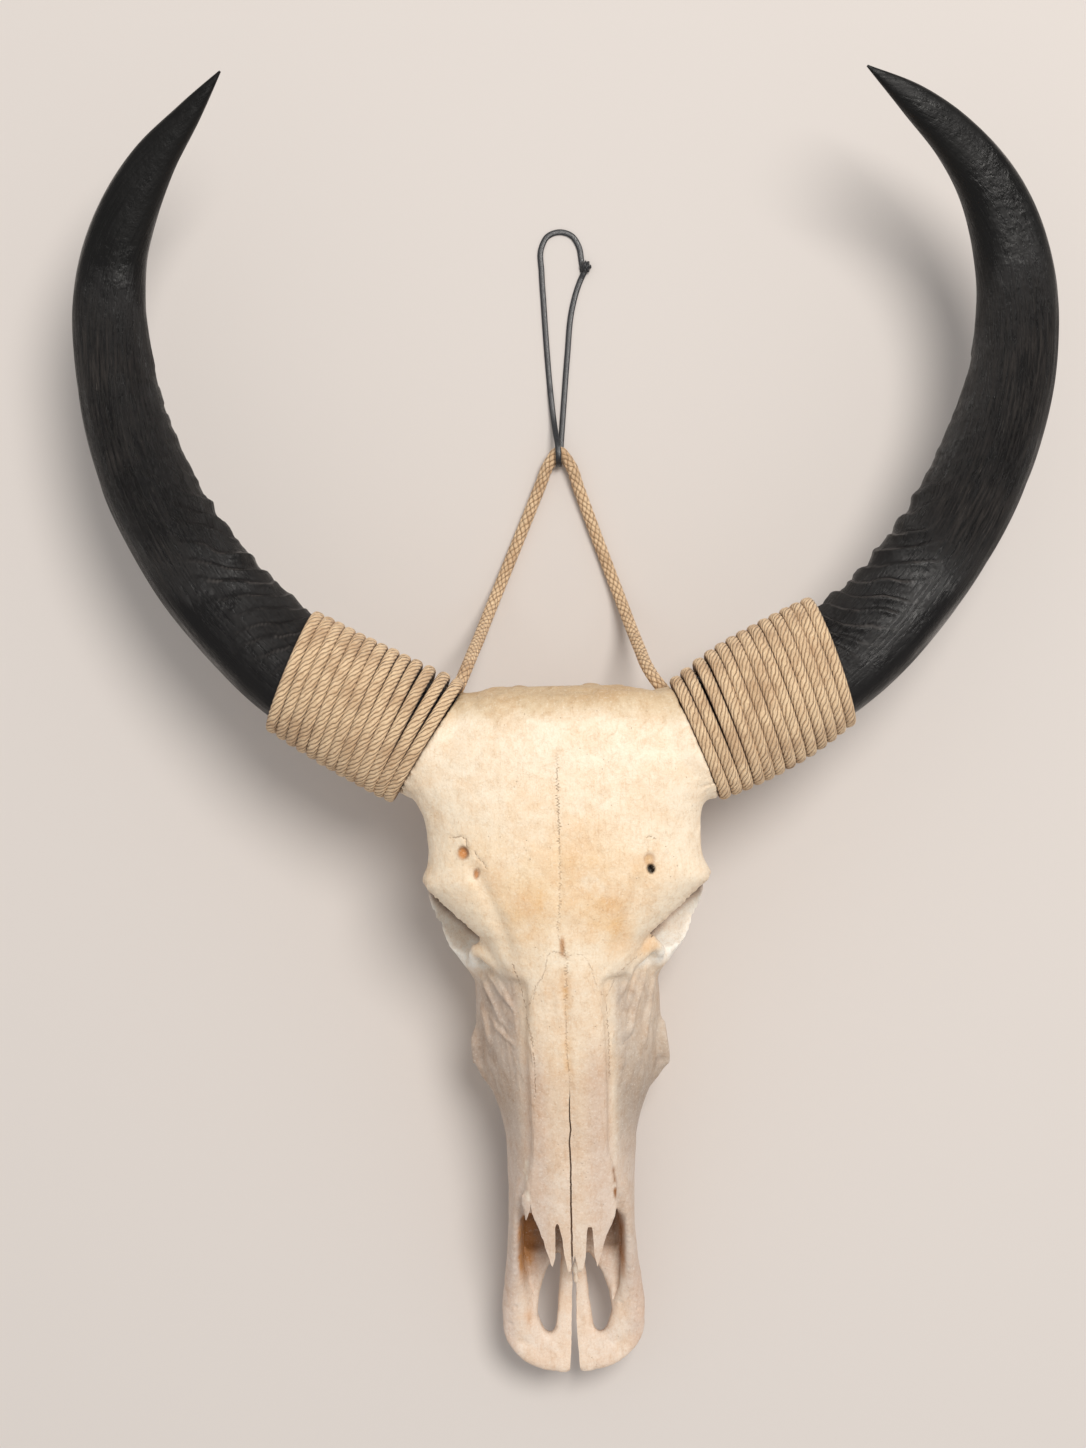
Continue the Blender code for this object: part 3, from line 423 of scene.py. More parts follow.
def ropeSkin(name, line, outwards, halfAcross, halfHigh, pattern, material, squareness=1.0, seed=1):
    # A tube round a line: at each ring, height above the line runs along its outward direction and width across
    # it, with the strands' height added to an oval section, flattened on top where it is squarer. The angle
    # starts underneath, where the seam stays out of sight.
    side, up = facing(line, outwards)
    around = np.arange(rope["sides"]) / rope["sides"]
    a = (around - 0.25) * 2 * math.pi
    lengthwise, around = np.meshgrid(distances(line), around, indexing="ij")
    relief = 1 - rope["relief"] * (1 - pattern(lengthwise, around))
    wide, high = (half * rounded(wave, squareness) * relief
                  for half, wave in ((halfAcross, np.cos(a)), (halfHigh, np.sin(a))))
    lay = np.stack([lengthwise, around, np.full(around.shape, seed * 5.3)], -1).reshape(-1, 3)
    # Painted shade between turns: the sides of a squarer section, which lie against the next turn.
    flank = 0 * lengthwise + np.abs(np.cos(a)) * (squareness < 1)
    return putMesh(name, toRow(carried(line, side, up, wide, high)), tubeFaces(*around.shape), material,
                   lay=lay, flank=flank.ravel())


hangerRoute = [
    (-80, 30, 131), (-74, 44, 119), (-68, 60, 90), (-62, 76, 56), (-55, 95, 27), (-46, 117, 11.5),
    (-33.5, 146, 5.8), (-19, 179, 5.8), (-5.5, 210, 7.4), (1.6, 226, 9.6), (10.8, 236.5, 10.6),
    (19.8, 226, 9.6), (27, 205, 7.4),
    (39.5, 168, 5.8), (50.5, 136, 5.8), (61, 105, 11.5), (69, 79, 32), (74.5, 60, 62), (79, 45, 90),
    (85.5, 33, 105), (94.5, 21.5, 110), (104, 12.5, 110.5), (110, 7.5, 113.5), (113, 5, 118),
]
laceRoute = [
    (36.5, 394.5, 2.1), (35.5, 405, 2.1), (33.5, 417, 2.1), (27.5, 426.5, 2.1), (17, 430, 2.1), (6.5, 426.5, 2.1),
    (1, 417, 2.1), (0.4, 395, 2.1), (1.2, 371, 2.1), (2.8, 330, 2.1), (5, 290, 2.6), (7.4, 262, 7),
    (8.6, 251, 12.6), (9.8, 242, 17.4), (10.2, 236, 18.8), (10.2, 230, 18), (10.2, 225.6, 14.6),
    (10.3, 224.3, 10.6), (10.6, 225.6, 6.4), (11.2, 230, 3), (12.2, 238, 2.1), (13.6, 252, 2.1),
    (16.4, 280, 2.1), (20.8, 322, 2.1), (26, 362, 2.1), (30.5, 378, 2.1), (35, 389, 2.3), (39, 396, 3.2),
]
lace = {"width": 5.0, "thickness": 2.0, "sink": 0.85, "sides": 16, "step": 1.5, "knot": (39, 398.5, 3.6),
        "knotRadii": (5.2, 6.2, 3.6), "black": (22, 22, 25), "deep": (14, 14, 17), "shine": (38, 39, 44)}


def hangerRope():
    # A tube along its route. The direction that its strands count from is the route's own steepness, smoothed.
    line = evenly(alongRoute(hangerRoute, 400), 1.0)
    steep = np.abs(unit(np.gradient(line, axis=0)))
    window = np.hanning(61)
    lean = [np.convolve(np.pad(column, 30, "edge"), window / window.sum(), "valid")
            for column in (0 * steep[:, 0], steep[:, 2], steep[:, 1] + 0.25)]
    half = rope["diameter"] / 2
    piece = ropeSkin("hangerRope", line, np.column_stack(lean), half, half, braidHeight, braidedJute)
    finishPiece(piece, "jute", "hanger_rope")


def laceMaterial():
    # Shiny black with a fine weave in it.
    made, tree, shader = newMaterial("blackLace", lace["black"], {"Roughness": 0.3, "Specular IOR Level": 0.7})
    weave = noise(tree, attribute(tree, "lay", "Vector"), 1.0, 2, 0.5, stretch=(3.0, 1.5, 1.0))
    colour = coats(tree, screen(*lace["deep"]), (weave, lace["shine"]))
    finishShader(tree, shader, colour, weave, 0.0003, 0.5, spread(tree, weave, 0.3, 0.7, 0.2, 0.42))
    return made


blackLace = laceMaterial()


def blackCord():
    # A flat lace: an oval section whose flat side faces up on the floor and turns over where it rounds the rope.
    line = evenly(alongRoute(laceRoute, 700), lace["step"])
    line[:, 2] -= lace["sink"] * fall(line[:, 2], 2.1, 2.8)   # where it lies flat, it rests on the floor
    gone = distances(line)
    turn = gone[np.argmin(line[:, 1] + 1000 * (line[:, 1] > 300))]
    share = (step01(gone, turn - 34, turn - 22) - step01(gone, turn + 14, turn + 26))[:, None]
    flat = np.where(gone < turn, 1.0, -1.0)[:, None] * np.array([0, 0, 1.0])
    bent = np.cross(unit(np.gradient(line, axis=0)), np.array([1.0, 0, 0]))
    side, up = facing(line, flat * (1 - share) + bent * share)
    a = fullTurn(lace["sides"])
    wide = rounded(np.cos(a), 0.7) * lace["width"] / 2
    high = rounded(np.sin(a), 0.8) * lace["thickness"] / 2
    lengthwise, sideways = np.meshgrid(gone, wide, indexing="ij")
    lay = np.stack([lengthwise, sideways, 0 * sideways], -1).reshape(-1, 3)
    piece = putMesh("hangerCord", toRow(carried(line, side, up, wide[None], high[None])),
                    tubeFaces(*sideways.shape), blackLace, lay=lay)
    knot = cordKnot()
    finishPiece(piece, "black_cord", "hanger_cord")
    finishPiece(knot, "black_cord", "cord_knot")


def cordKnot():
    # An overhand knot's outer shape: a ball whose surface is pressed in along two crossing bands of cord.
    polar, a = np.meshgrid(np.linspace(0.02, math.pi - 0.02, 28), fullTurn(40), indexing="ij")
    x, y, z = np.sin(polar) * np.cos(a), np.sin(polar) * np.sin(a), np.cos(polar)
    band = np.minimum(np.abs(0.8 * x + 0.6 * y), np.abs(0.75 * x - 0.66 * y + 0.3 * z))
    out = 0.84 + 0.16 * np.cos(np.clip(band, 0, 1) * 9)
    points = np.array(lace["knot"]) + np.stack([x, y, z], -1) * out[..., None] * np.array(lace["knotRadii"])
    points = points.reshape(-1, 3)
    return putMesh("cordKnot", toRow(points), tubeFaces(*polar.shape), blackLace, lay=points)


hangerRope()
blackCord()
print("rope hanger and black cord are made")

windingLeft = {
    "rows": [(-103, -12.5, 152, 58.5, 34), (-138, 5.5, 150, 57.5, 27), (-175, 26, 147, 56, 24),
             (-216, 51, 143, 53.5, 24)],
    "turns": 13, "depth": 0.80, "start": 3.70, "seed": 3, "gaps": {0: 1.0, 1: 1.3, 2: 0.5},
}
windingRight = {
    "rows": [(113, -17.5, 152, 54, 22), (151, 3.5, 149.5, 59.5, 19), (190, 24, 146.5, 60, 18),
             (229, 46, 142, 56, 18)],
    "turns": 13, "depth": 0.80, "start": 3.80, "seed": 5, "gaps": {0: 0.6, 1: 1.1, 2: 0.9},
}
# How the rope lies in both: samples a turn, the part of a turn in which it steps over to the next, how far it
# wanders and bulges, half its width over the pitch, and how square its section is.
turnStyle = {"samples": 320, "stepFrom": 0.24, "stepTo": 0.76, "wander": 0.42, "bulge": 0.3, "halfWidth": 0.53,
             "squareness": 0.82}


def winding(name, node, values):
    # A rope laid in flat turns side by side: the angle goes round evenly, and the step to the next turn is taken
    # at the back, where h(u) rises smoothly from one whole number to the next. Each turn is an oval as wide as
    # the rows say, tilted as they say; turns bulge and wander a little.
    rows, turns, seed = values["rows"], values["turns"], values["seed"]
    side = 1 if rows[0][0] > 0 else -1
    back = (values["start"] + math.pi / 2) / (2 * math.pi)   # turns made before the rope first passes the back
    u = np.linspace(0, turns - 1 + back, int(turns * turnStyle["samples"]))
    angle = values["start"] - u * 2 * math.pi
    done = u - back + 0.5
    stepFrom, stepTo = turnStyle["stepFrom"], turnStyle["stepTo"]
    passed = np.floor(done) + step01(done - np.floor(done), stepFrom, stepTo)
    number = np.clip(np.where(done < stepFrom, 0, passed), 0, turns - 1)
    half, total = rope["diameter"] / 2, lengthOf(np.array(rows)[:, :3])
    pitch = (total - 2 * half - sum(values["gaps"].values())) / (turns - 1)
    edges = np.cumsum([half] + [pitch + values["gaps"].get(k, 0) for k in range(turns - 1)])
    wander = turnStyle["wander"] * grain(seed, u * 3.1) * step01(u, 0.3, 1)
    place = (np.interp(number, np.arange(turns), edges) + wander) / total
    at = [np.interp(place, np.linspace(0, 1, 400), column) for column in alongRoute(rows, 400).T]
    centre, across, lean = np.column_stack(at[:3]), at[3], np.radians(at[4])
    outward = np.column_stack([side * np.sin(lean), -np.cos(lean), 0 * u])
    up = np.array([0, 0, 1.0])
    bulge = turnStyle["bulge"] * (grain(seed + 9, u * 4.3, 5) - 1)
    bulge -= 0.5 * half * step01(u, u[-1] - 0.22, u[-1])   # the rope's end is tucked in
    wide, deep = across - half + bulge, across * values["depth"] - half + bulge
    line = centre + outward * (np.cos(angle) * wide)[:, None] + up * (np.sin(angle) * deep)[:, None]
    outwards = outward * (np.cos(angle) / wide)[:, None] + up * (np.sin(angle) / deep)[:, None]
    rings = evenly(np.column_stack([line, unit(outwards)]), rope["step"])
    piece = ropeSkin(name, rings[:, :3], rings[:, 3:], turnStyle["halfWidth"] * pitch, half, laidHeight, laidJute,
                     turnStyle["squareness"], seed)
    return finishPiece(piece, "jute", node)


winding("windingLeft", "wrap_left", windingLeft)
winding("windingRight", "wrap_right", windingRight)
print("rope windings are made")

horn = {"depth": 0.74, "keel": 0.10, "rings": 760, "sides": 116, "square": 0.92, "wrinkleStep": 10.5,
        "wrinkleGrowth": 0.016, "wrinkleLean": 27, "wrinkleRise": 0.78,
        "wrinkleSway": 4.5, "wrinkleDepth": 3.3, "flakeDepth": 1.5, "grooveDepth": 1.4, "swellDepth": 0.8,
        "black": (13, 11, 11), "grey": (54, 49, 46), "worn": (118, 110, 102), "crest": (88, 83, 80),
        "tip": (9, 8, 7)}
# Centre x, y, z and half width, from the skull to the tip.
hornLeft = [
    (-103.6, -12, 152, 48.5), (-139, 8, 150, 48), (-175, 29, 147, 47.5), (-213, 54, 143, 46), (-243, 81, 139, 44.3),
    (-271, 112, 135, 43), (-298, 150, 131, 41.2), (-320, 189, 128, 39.6), (-337, 228, 126, 38),
    (-349, 267, 126, 35.5), (-355.5, 311, 128, 33), (-357, 354, 133, 30.4), (-350, 394, 140, 27.9),
    (-334.5, 431, 150, 24.6), (-313, 465, 161, 19.5), (-282, 499, 175, 11), (-253, 530, 189, 0.9),
]
hornRight = [
    (113.5, -17.2, 152, 46), (159, 8, 149, 48.5), (201, 29.5, 145, 47.4), (232, 48, 141, 46), (257, 67, 139, 44.6),
    (290, 100, 135, 43), (320, 137, 131, 41.8), (345, 177, 128, 41), (365, 217, 126, 39.8),
    (381, 261, 126, 37.4), (388.5, 305, 128, 35.8), (389.5, 348, 133, 33.4), (382, 390, 140, 30),
    (366, 428, 150, 26), (339, 463.5, 162, 20.2), (304, 493, 176, 13.4), (265, 519, 189, 0.9),
]


def hornMaterial():
    # Black, with grey streaks and pale hairlines lengthwise where it is worn, and small flecks. The grey crests are a
    # painted highlight on the wrinkles, partly wear.
    made, tree, shader = newMaterial("hornSheath", horn["black"], {"Roughness": 0.4, "Specular IOR Level": 0.26})
    lay, wear = attribute(tree, "lay", "Vector"), attribute(tree, "wear")
    where = add(tree, "TexCoord").outputs["Object"]
    streak = noise(tree, lay, 1.0, 5, 0.62, stretch=(0.03, 0.5, 1.0))
    hair = noise(tree, lay, 1.0, 3, 0.7, stretch=(0.05, 1.7, 1.0))
    patch, fleck = noise(tree, where, 16, 5, 0.65), noise(tree, where, 260, 4, 0.7)
    grey = times(tree, spread(tree, streak, 0.40, 0.66), wear, True)
    grey = times(tree, grey, spread(tree, patch, 0.36, 0.62, 0.25, 1.0), True)
    pale = times(tree, spread(tree, hair, 0.62, 0.76), wear, True)
    colour = coats(tree, screen(*horn["black"]), (grey, horn["grey"]), (times(tree, pale, 0.75), horn["worn"]),
                   (times(tree, attribute(tree, "worn"), 0.8), horn["crest"]),
                   (times(tree, spread(tree, fleck, 0.66, 0.74), 0.35), horn["grey"]),
                   (attribute(tree, "tip"), horn["tip"]))
    rough = plus(tree, times(tree, streak, 0.5), times(tree, patch, 0.5))
    height = times(tree, plus(tree, streak, times(tree, hair, 0.5)), plus(tree, wear, 0.1))
    height = plus(tree, height, times(tree, fleck, 0.12))
    height = plus(tree, height, times(tree, noise(tree, where, 70, 4, 0.6), 0.45))
    finishShader(tree, shader, colour, height, 0.0034, 0.85, spread(tree, rough, 0.40, 0.60, 0.2, 0.55))
    return made


hornSkin = hornMaterial()


def hornSheath(name, node, rows, leanAtRope, seed):
    # An oval section with a keel, a(t) from 0 at the outer edge over the front face to pi at the inner edge,
    # carried along the horn's centreline. Wrinkles run round the inner side; their height is a row of smooth
    # steps in the distance along the horn, strongest near the skull and on the inner edge. Shallow grooves run
    # lengthwise on the outer half.
    row = alongRoute(rows, horn["rings"])
    centre, half = row[:, :3], row[:, 3:]
    side = 1 if rows[0][0] > 0 else -1
    ahead, gone = np.gradient(centre, axis=0), distances(centre)
    reach = np.linalg.norm(centre - centre[0], axis=1)
    held = np.where(gone < 200, np.clip(1 - (reach - 60) / 60, 0, 1), 0)   # how far the rope's lean still holds
    angle = np.radians(leanAtRope) * held + np.arctan2(ahead[:, 1], side * ahead[:, 0]) * (1 - held)
    outward = np.column_stack([side * np.sin(angle), -np.cos(angle), 0 * angle])
    flat = np.column_stack([side * np.cos(angle), np.sin(angle), 0 * angle])
    climb = (np.arctan2(ahead[:, 2], np.hypot(ahead[:, 0], ahead[:, 1])) * (1 - held))[:, None]
    through = np.array([0, 0, 1.0]) * np.cos(climb) - flat * np.sin(climb)
    a = fullTurn(horn["sides"])
    out = 1 + horn["keel"] * hump(a - math.radians(48), 0.36)
    across, deep = (rounded(wave, horn["square"]) * out for wave in (np.cos(a), np.sin(a)))
    across = across / np.abs(across).max()
    s, t = np.meshgrid(gone, a, indexing="ij")
    way, inward, inner = s / gone[-1], -np.cos(t), step01(-np.cos(t), -0.45, 0.45)
    grid = np.column_stack([q.ravel() / 26 for q in (s, half * np.cos(t), half * np.sin(t))])

    def field(scale, more):
        return latticeNoise(grid * scale, 1.0, seed + more).reshape(s.shape)

    sway, small, patchy, swell = field(1, 0), field(3.1, 2), field(0.8, 4), field(0.45, 12)
    # Distance along the horn, bent so that the wrinkles lean and wander, in units of one wrinkle.
    bent = s + horn["wrinkleLean"] * inward + horn["wrinkleSway"] * sway + 1.3 * small
    phase = bent / (horn["wrinkleStep"] + horn["wrinkleGrowth"] * s)
    saw = phase - np.floor(phase)
    rise = horn["wrinkleRise"]
    wrinkle = np.where(saw < rise, (saw / rise) ** 1.7, (1 - saw) / (1 - rise))
    strength = np.clip(fall(way, 0.26, 0.6) * inner * (0.9 + 0.6 * patchy), 0, 1)
    broad = np.cos((s + 20 * inward + 9 * sway) / 31 * 2 * math.pi)
    depth = strength * (horn["wrinkleDepth"] * (wrinkle - 1) + 0.5 * np.abs((3.1 * phase + 0.5 * sway) % 1 - 0.5)
                        + 1.4 * (broad - 0.8) * step01(inward, 0.2, 0.9))
    # Ragged flakes further up the inner edge, then lengthwise grooves and slow swells.
    chips = grain(seed + 6, s / 9, half * np.cos(t) / 13, half * np.sin(t) / 13)
    ragged = between(way, 0.34, 0.44, 0.6, 0.66) * step01(inward, 0.35, 0.95)
    depth += horn["flakeDepth"] * ragged * (np.clip(chips, -0.2, 0.5) - 0.5)
    lines = layeredNoise(np.column_stack([s.ravel() / 70, t.ravel() * 9, 0 * t.ravel()]), 1.0, seed + 8, 2)
    lengthwise = between(way, 0.2, 0.42, 0.62, 0.75) * (1 - 0.6 * inner)
    depth += horn["grooveDepth"] * lengthwise * (lines.reshape(s.shape) - 0.6)
    depth += horn["swellDepth"] * (swell - 0.7) * step01(half, 2, 20)
    size = half * (1 + depth / np.maximum(half, 6) * step01(half, 0.5, 12))
    points = carried(centre, outward, through, across * size, deep * horn["depth"] * size)
    lay = np.stack([s, half * t, np.full(s.shape, seed * 5.0)], -1).reshape(-1, 3)
    wear = between(way, 0.30, 0.42, 0.60, 0.74) * (1 - 0.35 * inner) + 0.45 * fall(way, 0.2, 0.34) * inner
    # The wrinkle crests are painted paler: a painted highlight, partly wear.
    crest = strength * step01(hump(saw - 0.84, 0.1), 0.45, 1.0) * step01(small, -0.5, 0.3) * fall(way, 0.3, 0.4)
    piece = putMesh(name, toRow(points), tubeFaces(*s.shape), hornSkin, lay=lay, wear=wear.ravel(),
                    worn=crest.ravel(), tip=step01(way, 0.68, 0.78).ravel())
    return finishPiece(piece, "horn", node)


hornSheath("hornLeft", "horn_left", hornLeft, 34, 21)
hornSheath("hornRight", "horn_right", hornRight, 22, 34)
print("horns are made")

# Bones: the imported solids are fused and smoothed, get the relief of real bone, and are parted again.
bone = {"voxel": 2.6, "smoothRounds": 18, "gap": 0.3, "slit": 0.03, "fineFrom": 0.35, "base": (245, 226, 196),
        "cloud": (234, 202, 164), "vein": (232, 208, 178), "grain": (222, 196, 164), "paleGrain": (255, 248, 234),
        "streak": (220, 188, 152), "worm": (226, 200, 166), "pore": (150, 112, 80), "seam": (150, 106, 70)}
nasal = {"thickness": 9, "cover": 40, "free": -396, "gap": 1.2, "sag": 8, "sagAt": 36,
         "fillFrom": -388, "fillTo": -455, "fillRings": 24, "fillSides": 40}

# The nasal bones' roof at each y: half width, height, thickness.
nasalRoof = [
    (-180, 30, 187, 30), (-220, 31, 179.5, 24), (-260, 31.5, 171.5, 20), (-300, 32, 162.5, 16),
    (-350, 32, 150.5, 12), (-400, 39.5, 137.5, 9), (-425, 32, 130.5, 8), (-445, 28, 125, 6), (-456, 24, 121.5, 4),
]
# The nasal bones' half widths at each y, left and right, and the notches between their four prongs from above.
nasalEdge = [
    (-186, 1, 1), (-198, 14, 14), (-210, 21.5, 21.5), (-222, 27, 27), (-234, 30, 30.5), (-262, 28, 32.5),
    (-304, 27, 33), (-330, 27.4, 34.2), (-362, 30, 36.5), (-394, 31.8, 38), (-402, 31.4, 38.6),
    (-414, 27, 34.6), (-425, 23, 29.4), (-439, 19.2, 25.2), (-449, 15.9, 21.8), (-456, 13.5, 19.5),
]
nasalNotches = [
    [(-15.9, -450), (-13.2, -441), (-12.9, -424), (-12.5, -414), (-11, -411), (-9.6, -412.5), (-8.6, -417),
     (-6.9, -426), (-6.2, -436), (-3.8, -449), (-2.3, -455.5), (-2.3, -470), (-15.9, -470)],
    [(2.9, -439), (-0.2, -452), (-1.4, -457), (-1.4, -470), (6.6, -470), (6.6, -457), (5.4, -452)],
    [(21.5, -451), (18.8, -438), (18.7, -430), (18.5, -418.5), (17.8, -415.4), (14.6, -415.2),
     (13.9, -418.2), (12.5, -430), (11.7, -441), (9.8, -451), (7.6, -456), (7.6, -470), (21.5, -470)],
]
# Walls of the nose's opening beside the free ends: y, left, right.
noseMouth = [(-395, 32, 38.4), (-400, 32.8, 39.4), (-408, 36, 41.5), (-416, 38.5, 43),
             (-428, 41, 44), (-457, 41, 44)]
# Inner edges of the snout's side bars in front of it, from above.
noseRims = [
    [(-34, -401), (-38.5, -416), (-40.8, -428.6), (-40.1, -442.4), (-37.4, -461.4), (-36.1, -470), (-36.6, -474),
     (-34.7, -480.4), (-30.3, -490.4)],
    [(39, -402), (41.4, -417.7), (43.7, -427.8), (43.9, -438.8), (42.5, -452.6),
     (41.4, -469.4), (40.4, -478.8), (36.2, -491.2)],
]
premaxillaSeam = [(-396, 300), (-399, 112), (-426, 72), (-462, 41), (-462, -20)]
jawSeam = [(-246, 300), (-240, 170), (-232, 92), (-208, 76), (-186, 64), (-174, 44), (-172, -20)]
# The gap between the two halves of the front: y, left edge, right edge.
midlineCleft = [(-440, 0.6, 3.4), (-480, 0.5, 3.9), (-510, -0.9, 3.4), (-530, -2, 3.9), (-553, -3.7, 5.3)]
# Where the suture between the nasal bones runs at each y, and half the gap in it.
slitMiddle = ([-446, -389, -360, -340, -331, -315, -300, -254, -222, -190],
              [0.6, 1.0, 1.7, 1.1, 2.4, 1.8, 2.6, 1.0, 0.9, 1.6])
slitHalf = ([-446, -400, -330, -306, -296, -180], [0.85, 0.75, 0.65, 0.4, 0.015, 0.015])
snoutFill = [(-5, -447), (8, -447), (9, -530), (9, -550.2), (-7, -550.2), (-7, -530)]
boneNodes = ("cranium", "upper_jaw_left", "upper_jaw_right", "nasal_left", "nasal_right",
             "premaxilla_left", "premaxilla_right")
snoutFillHeights, noseHeights, rimBottom, toothTop = (45.6, 58.4), (60, 111), 139, 18.4
farOut, farFront, high = 400, -700, 300   # beyond the skull on every side


def edited(mesh, work):
    # Opens the mesh, does the work on it and puts it back.
    bm = bmesh.new()
    bm.from_mesh(mesh)
    work(bm)
    bm.to_mesh(mesh)
    bm.free()


def blockOf(points, faces):
    # A closed working block with its faces turned outwards.
    mesh = bpy.data.meshes.new("block")
    mesh.from_pydata(toRow(points), [], faces)
    edited(mesh, lambda bm: bmesh.ops.recalc_face_normals(bm, faces=bm.faces))
    return putObject("block", mesh)


def ringLoft(rings):
    # A block through closed rings of points.
    rings = np.asarray(rings, float)
    return blockOf(rings.reshape(-1, 3), tubeFaces(*rings.shape[:2]))


def upright(outline, low, top):
    # A block over an outline seen from above.
    outline = np.asarray(outline, float)
    n = len(outline)
    points = np.vstack([np.column_stack([outline, np.full(n, z)]) for z in (low, top)])
    sides = [(i, (i + 1) % n, n + (i + 1) % n, n + i) for i in range(n)]
    return blockOf(points, [tuple(range(n)), tuple(range(n, 2 * n))] + sides)


def applied(obj):
    # The object's mesh with its modifiers in it.
    graph = bpy.context.evaluated_depsgraph_get()
    mesh = bpy.data.meshes.new_from_object(obj.evaluated_get(graph), depsgraph=graph)
    old = obj.data
    obj.modifiers.clear()
    obj.data = mesh
    bpy.data.meshes.remove(old)
    return obj


def cut(obj, other, operation="DIFFERENCE"):
    # The object less the other, or what both share.
    mod = obj.modifiers.new("cut", "BOOLEAN")
    mod.object, mod.operation, mod.solver = other, operation, "MANIFOLD"
    applied(obj)
    bpy.data.objects.remove(other)
    return obj


def kept(obj, block):
    # A copy of what the block covers.
    return cut(putObject("part", obj.data.copy()), block, "INTERSECT")


def pointValues(mesh, key="co"):
    # The place or the normal of every point.
    held = np.empty(len(mesh.vertices) * 3)
    mesh.vertices.foreach_get(key, held)
    return held.reshape(-1, 3)


def setPoints(mesh, points):
    # Moves every point to its new place.
    mesh.vertices.foreach_set("co", np.asarray(points, np.float32).ravel())
    mesh.update()


def edgeEnds(mesh):
    # The two points of every edge, as two rows.
    held = np.empty(len(mesh.edges) * 2, np.int64)
    mesh.edges.foreach_get("vertices", held)
    return held.reshape(-1, 2).T


def smoothed(mesh, rounds, shares=(0.5, -0.53)):
    # Each point moves towards the middle of its neighbours and back out again, which takes the facets off
    # without thinning the form.
    a, b = edgeEnds(mesh)
    co = pointValues(mesh)
    count = len(co)
    degree = np.bincount(a, minlength=count) + np.bincount(b, minlength=count)
    for share in shares * rounds:
        middle = [np.bincount(a, co[b, k], count) + np.bincount(b, co[a, k], count) for k in range(3)]
        co = co + share * (np.column_stack(middle) / degree[:, None] - co)
    setPoints(mesh, co)


def keepLargest(obj):
    # Drops loose bits. Every point's label is lowered to its neighbours' least until nothing changes, so that
    # connected points share one.
    a, b = edgeEnds(obj.data)
    label, before = np.arange(len(obj.data.vertices)), None
    while before is None or (label != before).any():
        before, label = label, label.copy()
        low = np.minimum(before[a], before[b])
        np.minimum.at(label, a, low)
        np.minimum.at(label, b, low)
        label = label[label]
    names, sizes = np.unique(label, return_counts=True)
    loose = np.flatnonzero(label != names[sizes.argmax()])

    def drop(bm):
        bm.verts.ensure_lookup_table()
        bmesh.ops.delete(bm, geom=[bm.verts[i] for i in loose], context="VERTS")

    if len(loose):
        edited(obj.data, drop)
    return obj


def nasalSag(y, x):
    # How far the arched free ends of the nasal bones lie below their middle: it grows with x squared.
    return nasal["sag"] * step01(-y, 330, 390) * (x / nasal["sagAt"]) ** 2


def fusedSkull():
    # The seven solids, swollen by as much as parts them, and fused on a fine grid. The block teeth come off first.
    shells = []
    for node in boneNodes:
        obj = putObject("work", frame["nodes"][node].data.copy())
        edited(obj.data, lambda bm: bmesh.ops.remove_doubles(bm, verts=bm.verts, dist=1e-6))
        if "jaw" in node:
            below = [(-farOut, farFront), (farOut, farFront), (farOut, farOut), (-farOut, farOut)]
            cut(obj, upright(below, -60, toothTop))
        setPoints(obj.data, pointValues(obj.data) + pointValues(obj.data, "normal") * bone["gap"] * 0.8 * mm)
        shells.append(obj)
    # The nasal bones' free end and the front of the snout are filled, and cut out again sharply afterwards.
    places, a = np.linspace(nasal["fillFrom"], nasal["fillTo"], nasal["fillRings"]), fullTurn(nasal["fillSides"])
    across, tall = rounded(np.cos(a), 0.77), rounded(np.sin(a), 0.71)
    rings = [np.column_stack([half * across, np.full(len(a), y),
                              top - thick / 2 + thick / 2 * tall - nasalSag(y, half * across)])
             for y, (half, top, thick) in zip(places, smoothThrough(sorted(nasalRoof), places))]
    shells += [ringLoft(rings), upright(snoutFill, *snoutFillHeights)]
    bm = bmesh.new()
    for obj in shells:
        bm.from_mesh(obj.data)
        bpy.data.objects.remove(obj)
    mesh = bpy.data.meshes.new("skull")
    bm.to_mesh(mesh)
    bm.free()
    whole = putObject("skull", mesh)
    fuse = whole.modifiers.new("fuse", "REMESH")
    fuse.mode, fuse.voxel_size = "VOXEL", bone["voxel"] * mm
    keepLargest(applied(whole))
    smoothed(whole.data, bone["smoothRounds"])
    return whole


def refine(mesh, wanted):
    # Halves the edges of the faces whose middle and direction the test picks.
    centre, direction = np.empty((2, len(mesh.polygons) * 3))
    mesh.polygons.foreach_get("center", centre)
    mesh.polygons.foreach_get("normal", direction)
    picked = np.flatnonzero(wanted(toSkull(centre.reshape(-1, 3)), direction.reshape(-1, 3)))

    def halve(bm):
        bm.faces.ensure_lookup_table()
        edges = list({e for i in picked for e in bm.faces[i].edges})
        bmesh.ops.subdivide_edges(bm, edges=edges, cuts=1, use_grid_fill=True, smooth=0.0)

    edited(mesh, halve)
    mesh.update()


def lineDistance(points, line):
    # Signed distance of points seen from above to a line of corners, how far along it each one's nearest place
    # is, and the line's length.
    line = np.asarray(line, float)
    start, step, gone = line[:-1], np.diff(line, axis=0), distances(line)
    best = np.full(len(points), 1e9)
    signed, along = np.zeros((2, len(points)))
    for p, d, length, g in zip(start, step, np.linalg.norm(step, axis=1), gone):
        rel = points - p
        t = np.clip(rel @ d / length**2, 0, 1)
        far = np.hypot(*(rel - t[:, None] * d).T)
        nearer = far < best
        turn = np.sign(d[0] * rel[:, 1] - d[1] * rel[:, 0])
        best = np.where(nearer, far, best)
        signed = np.where(nearer, far * np.where(turn == 0, 1, turn), signed)
        along = np.where(nearer, g + t * length, along)
    return signed, along, gone[-1]


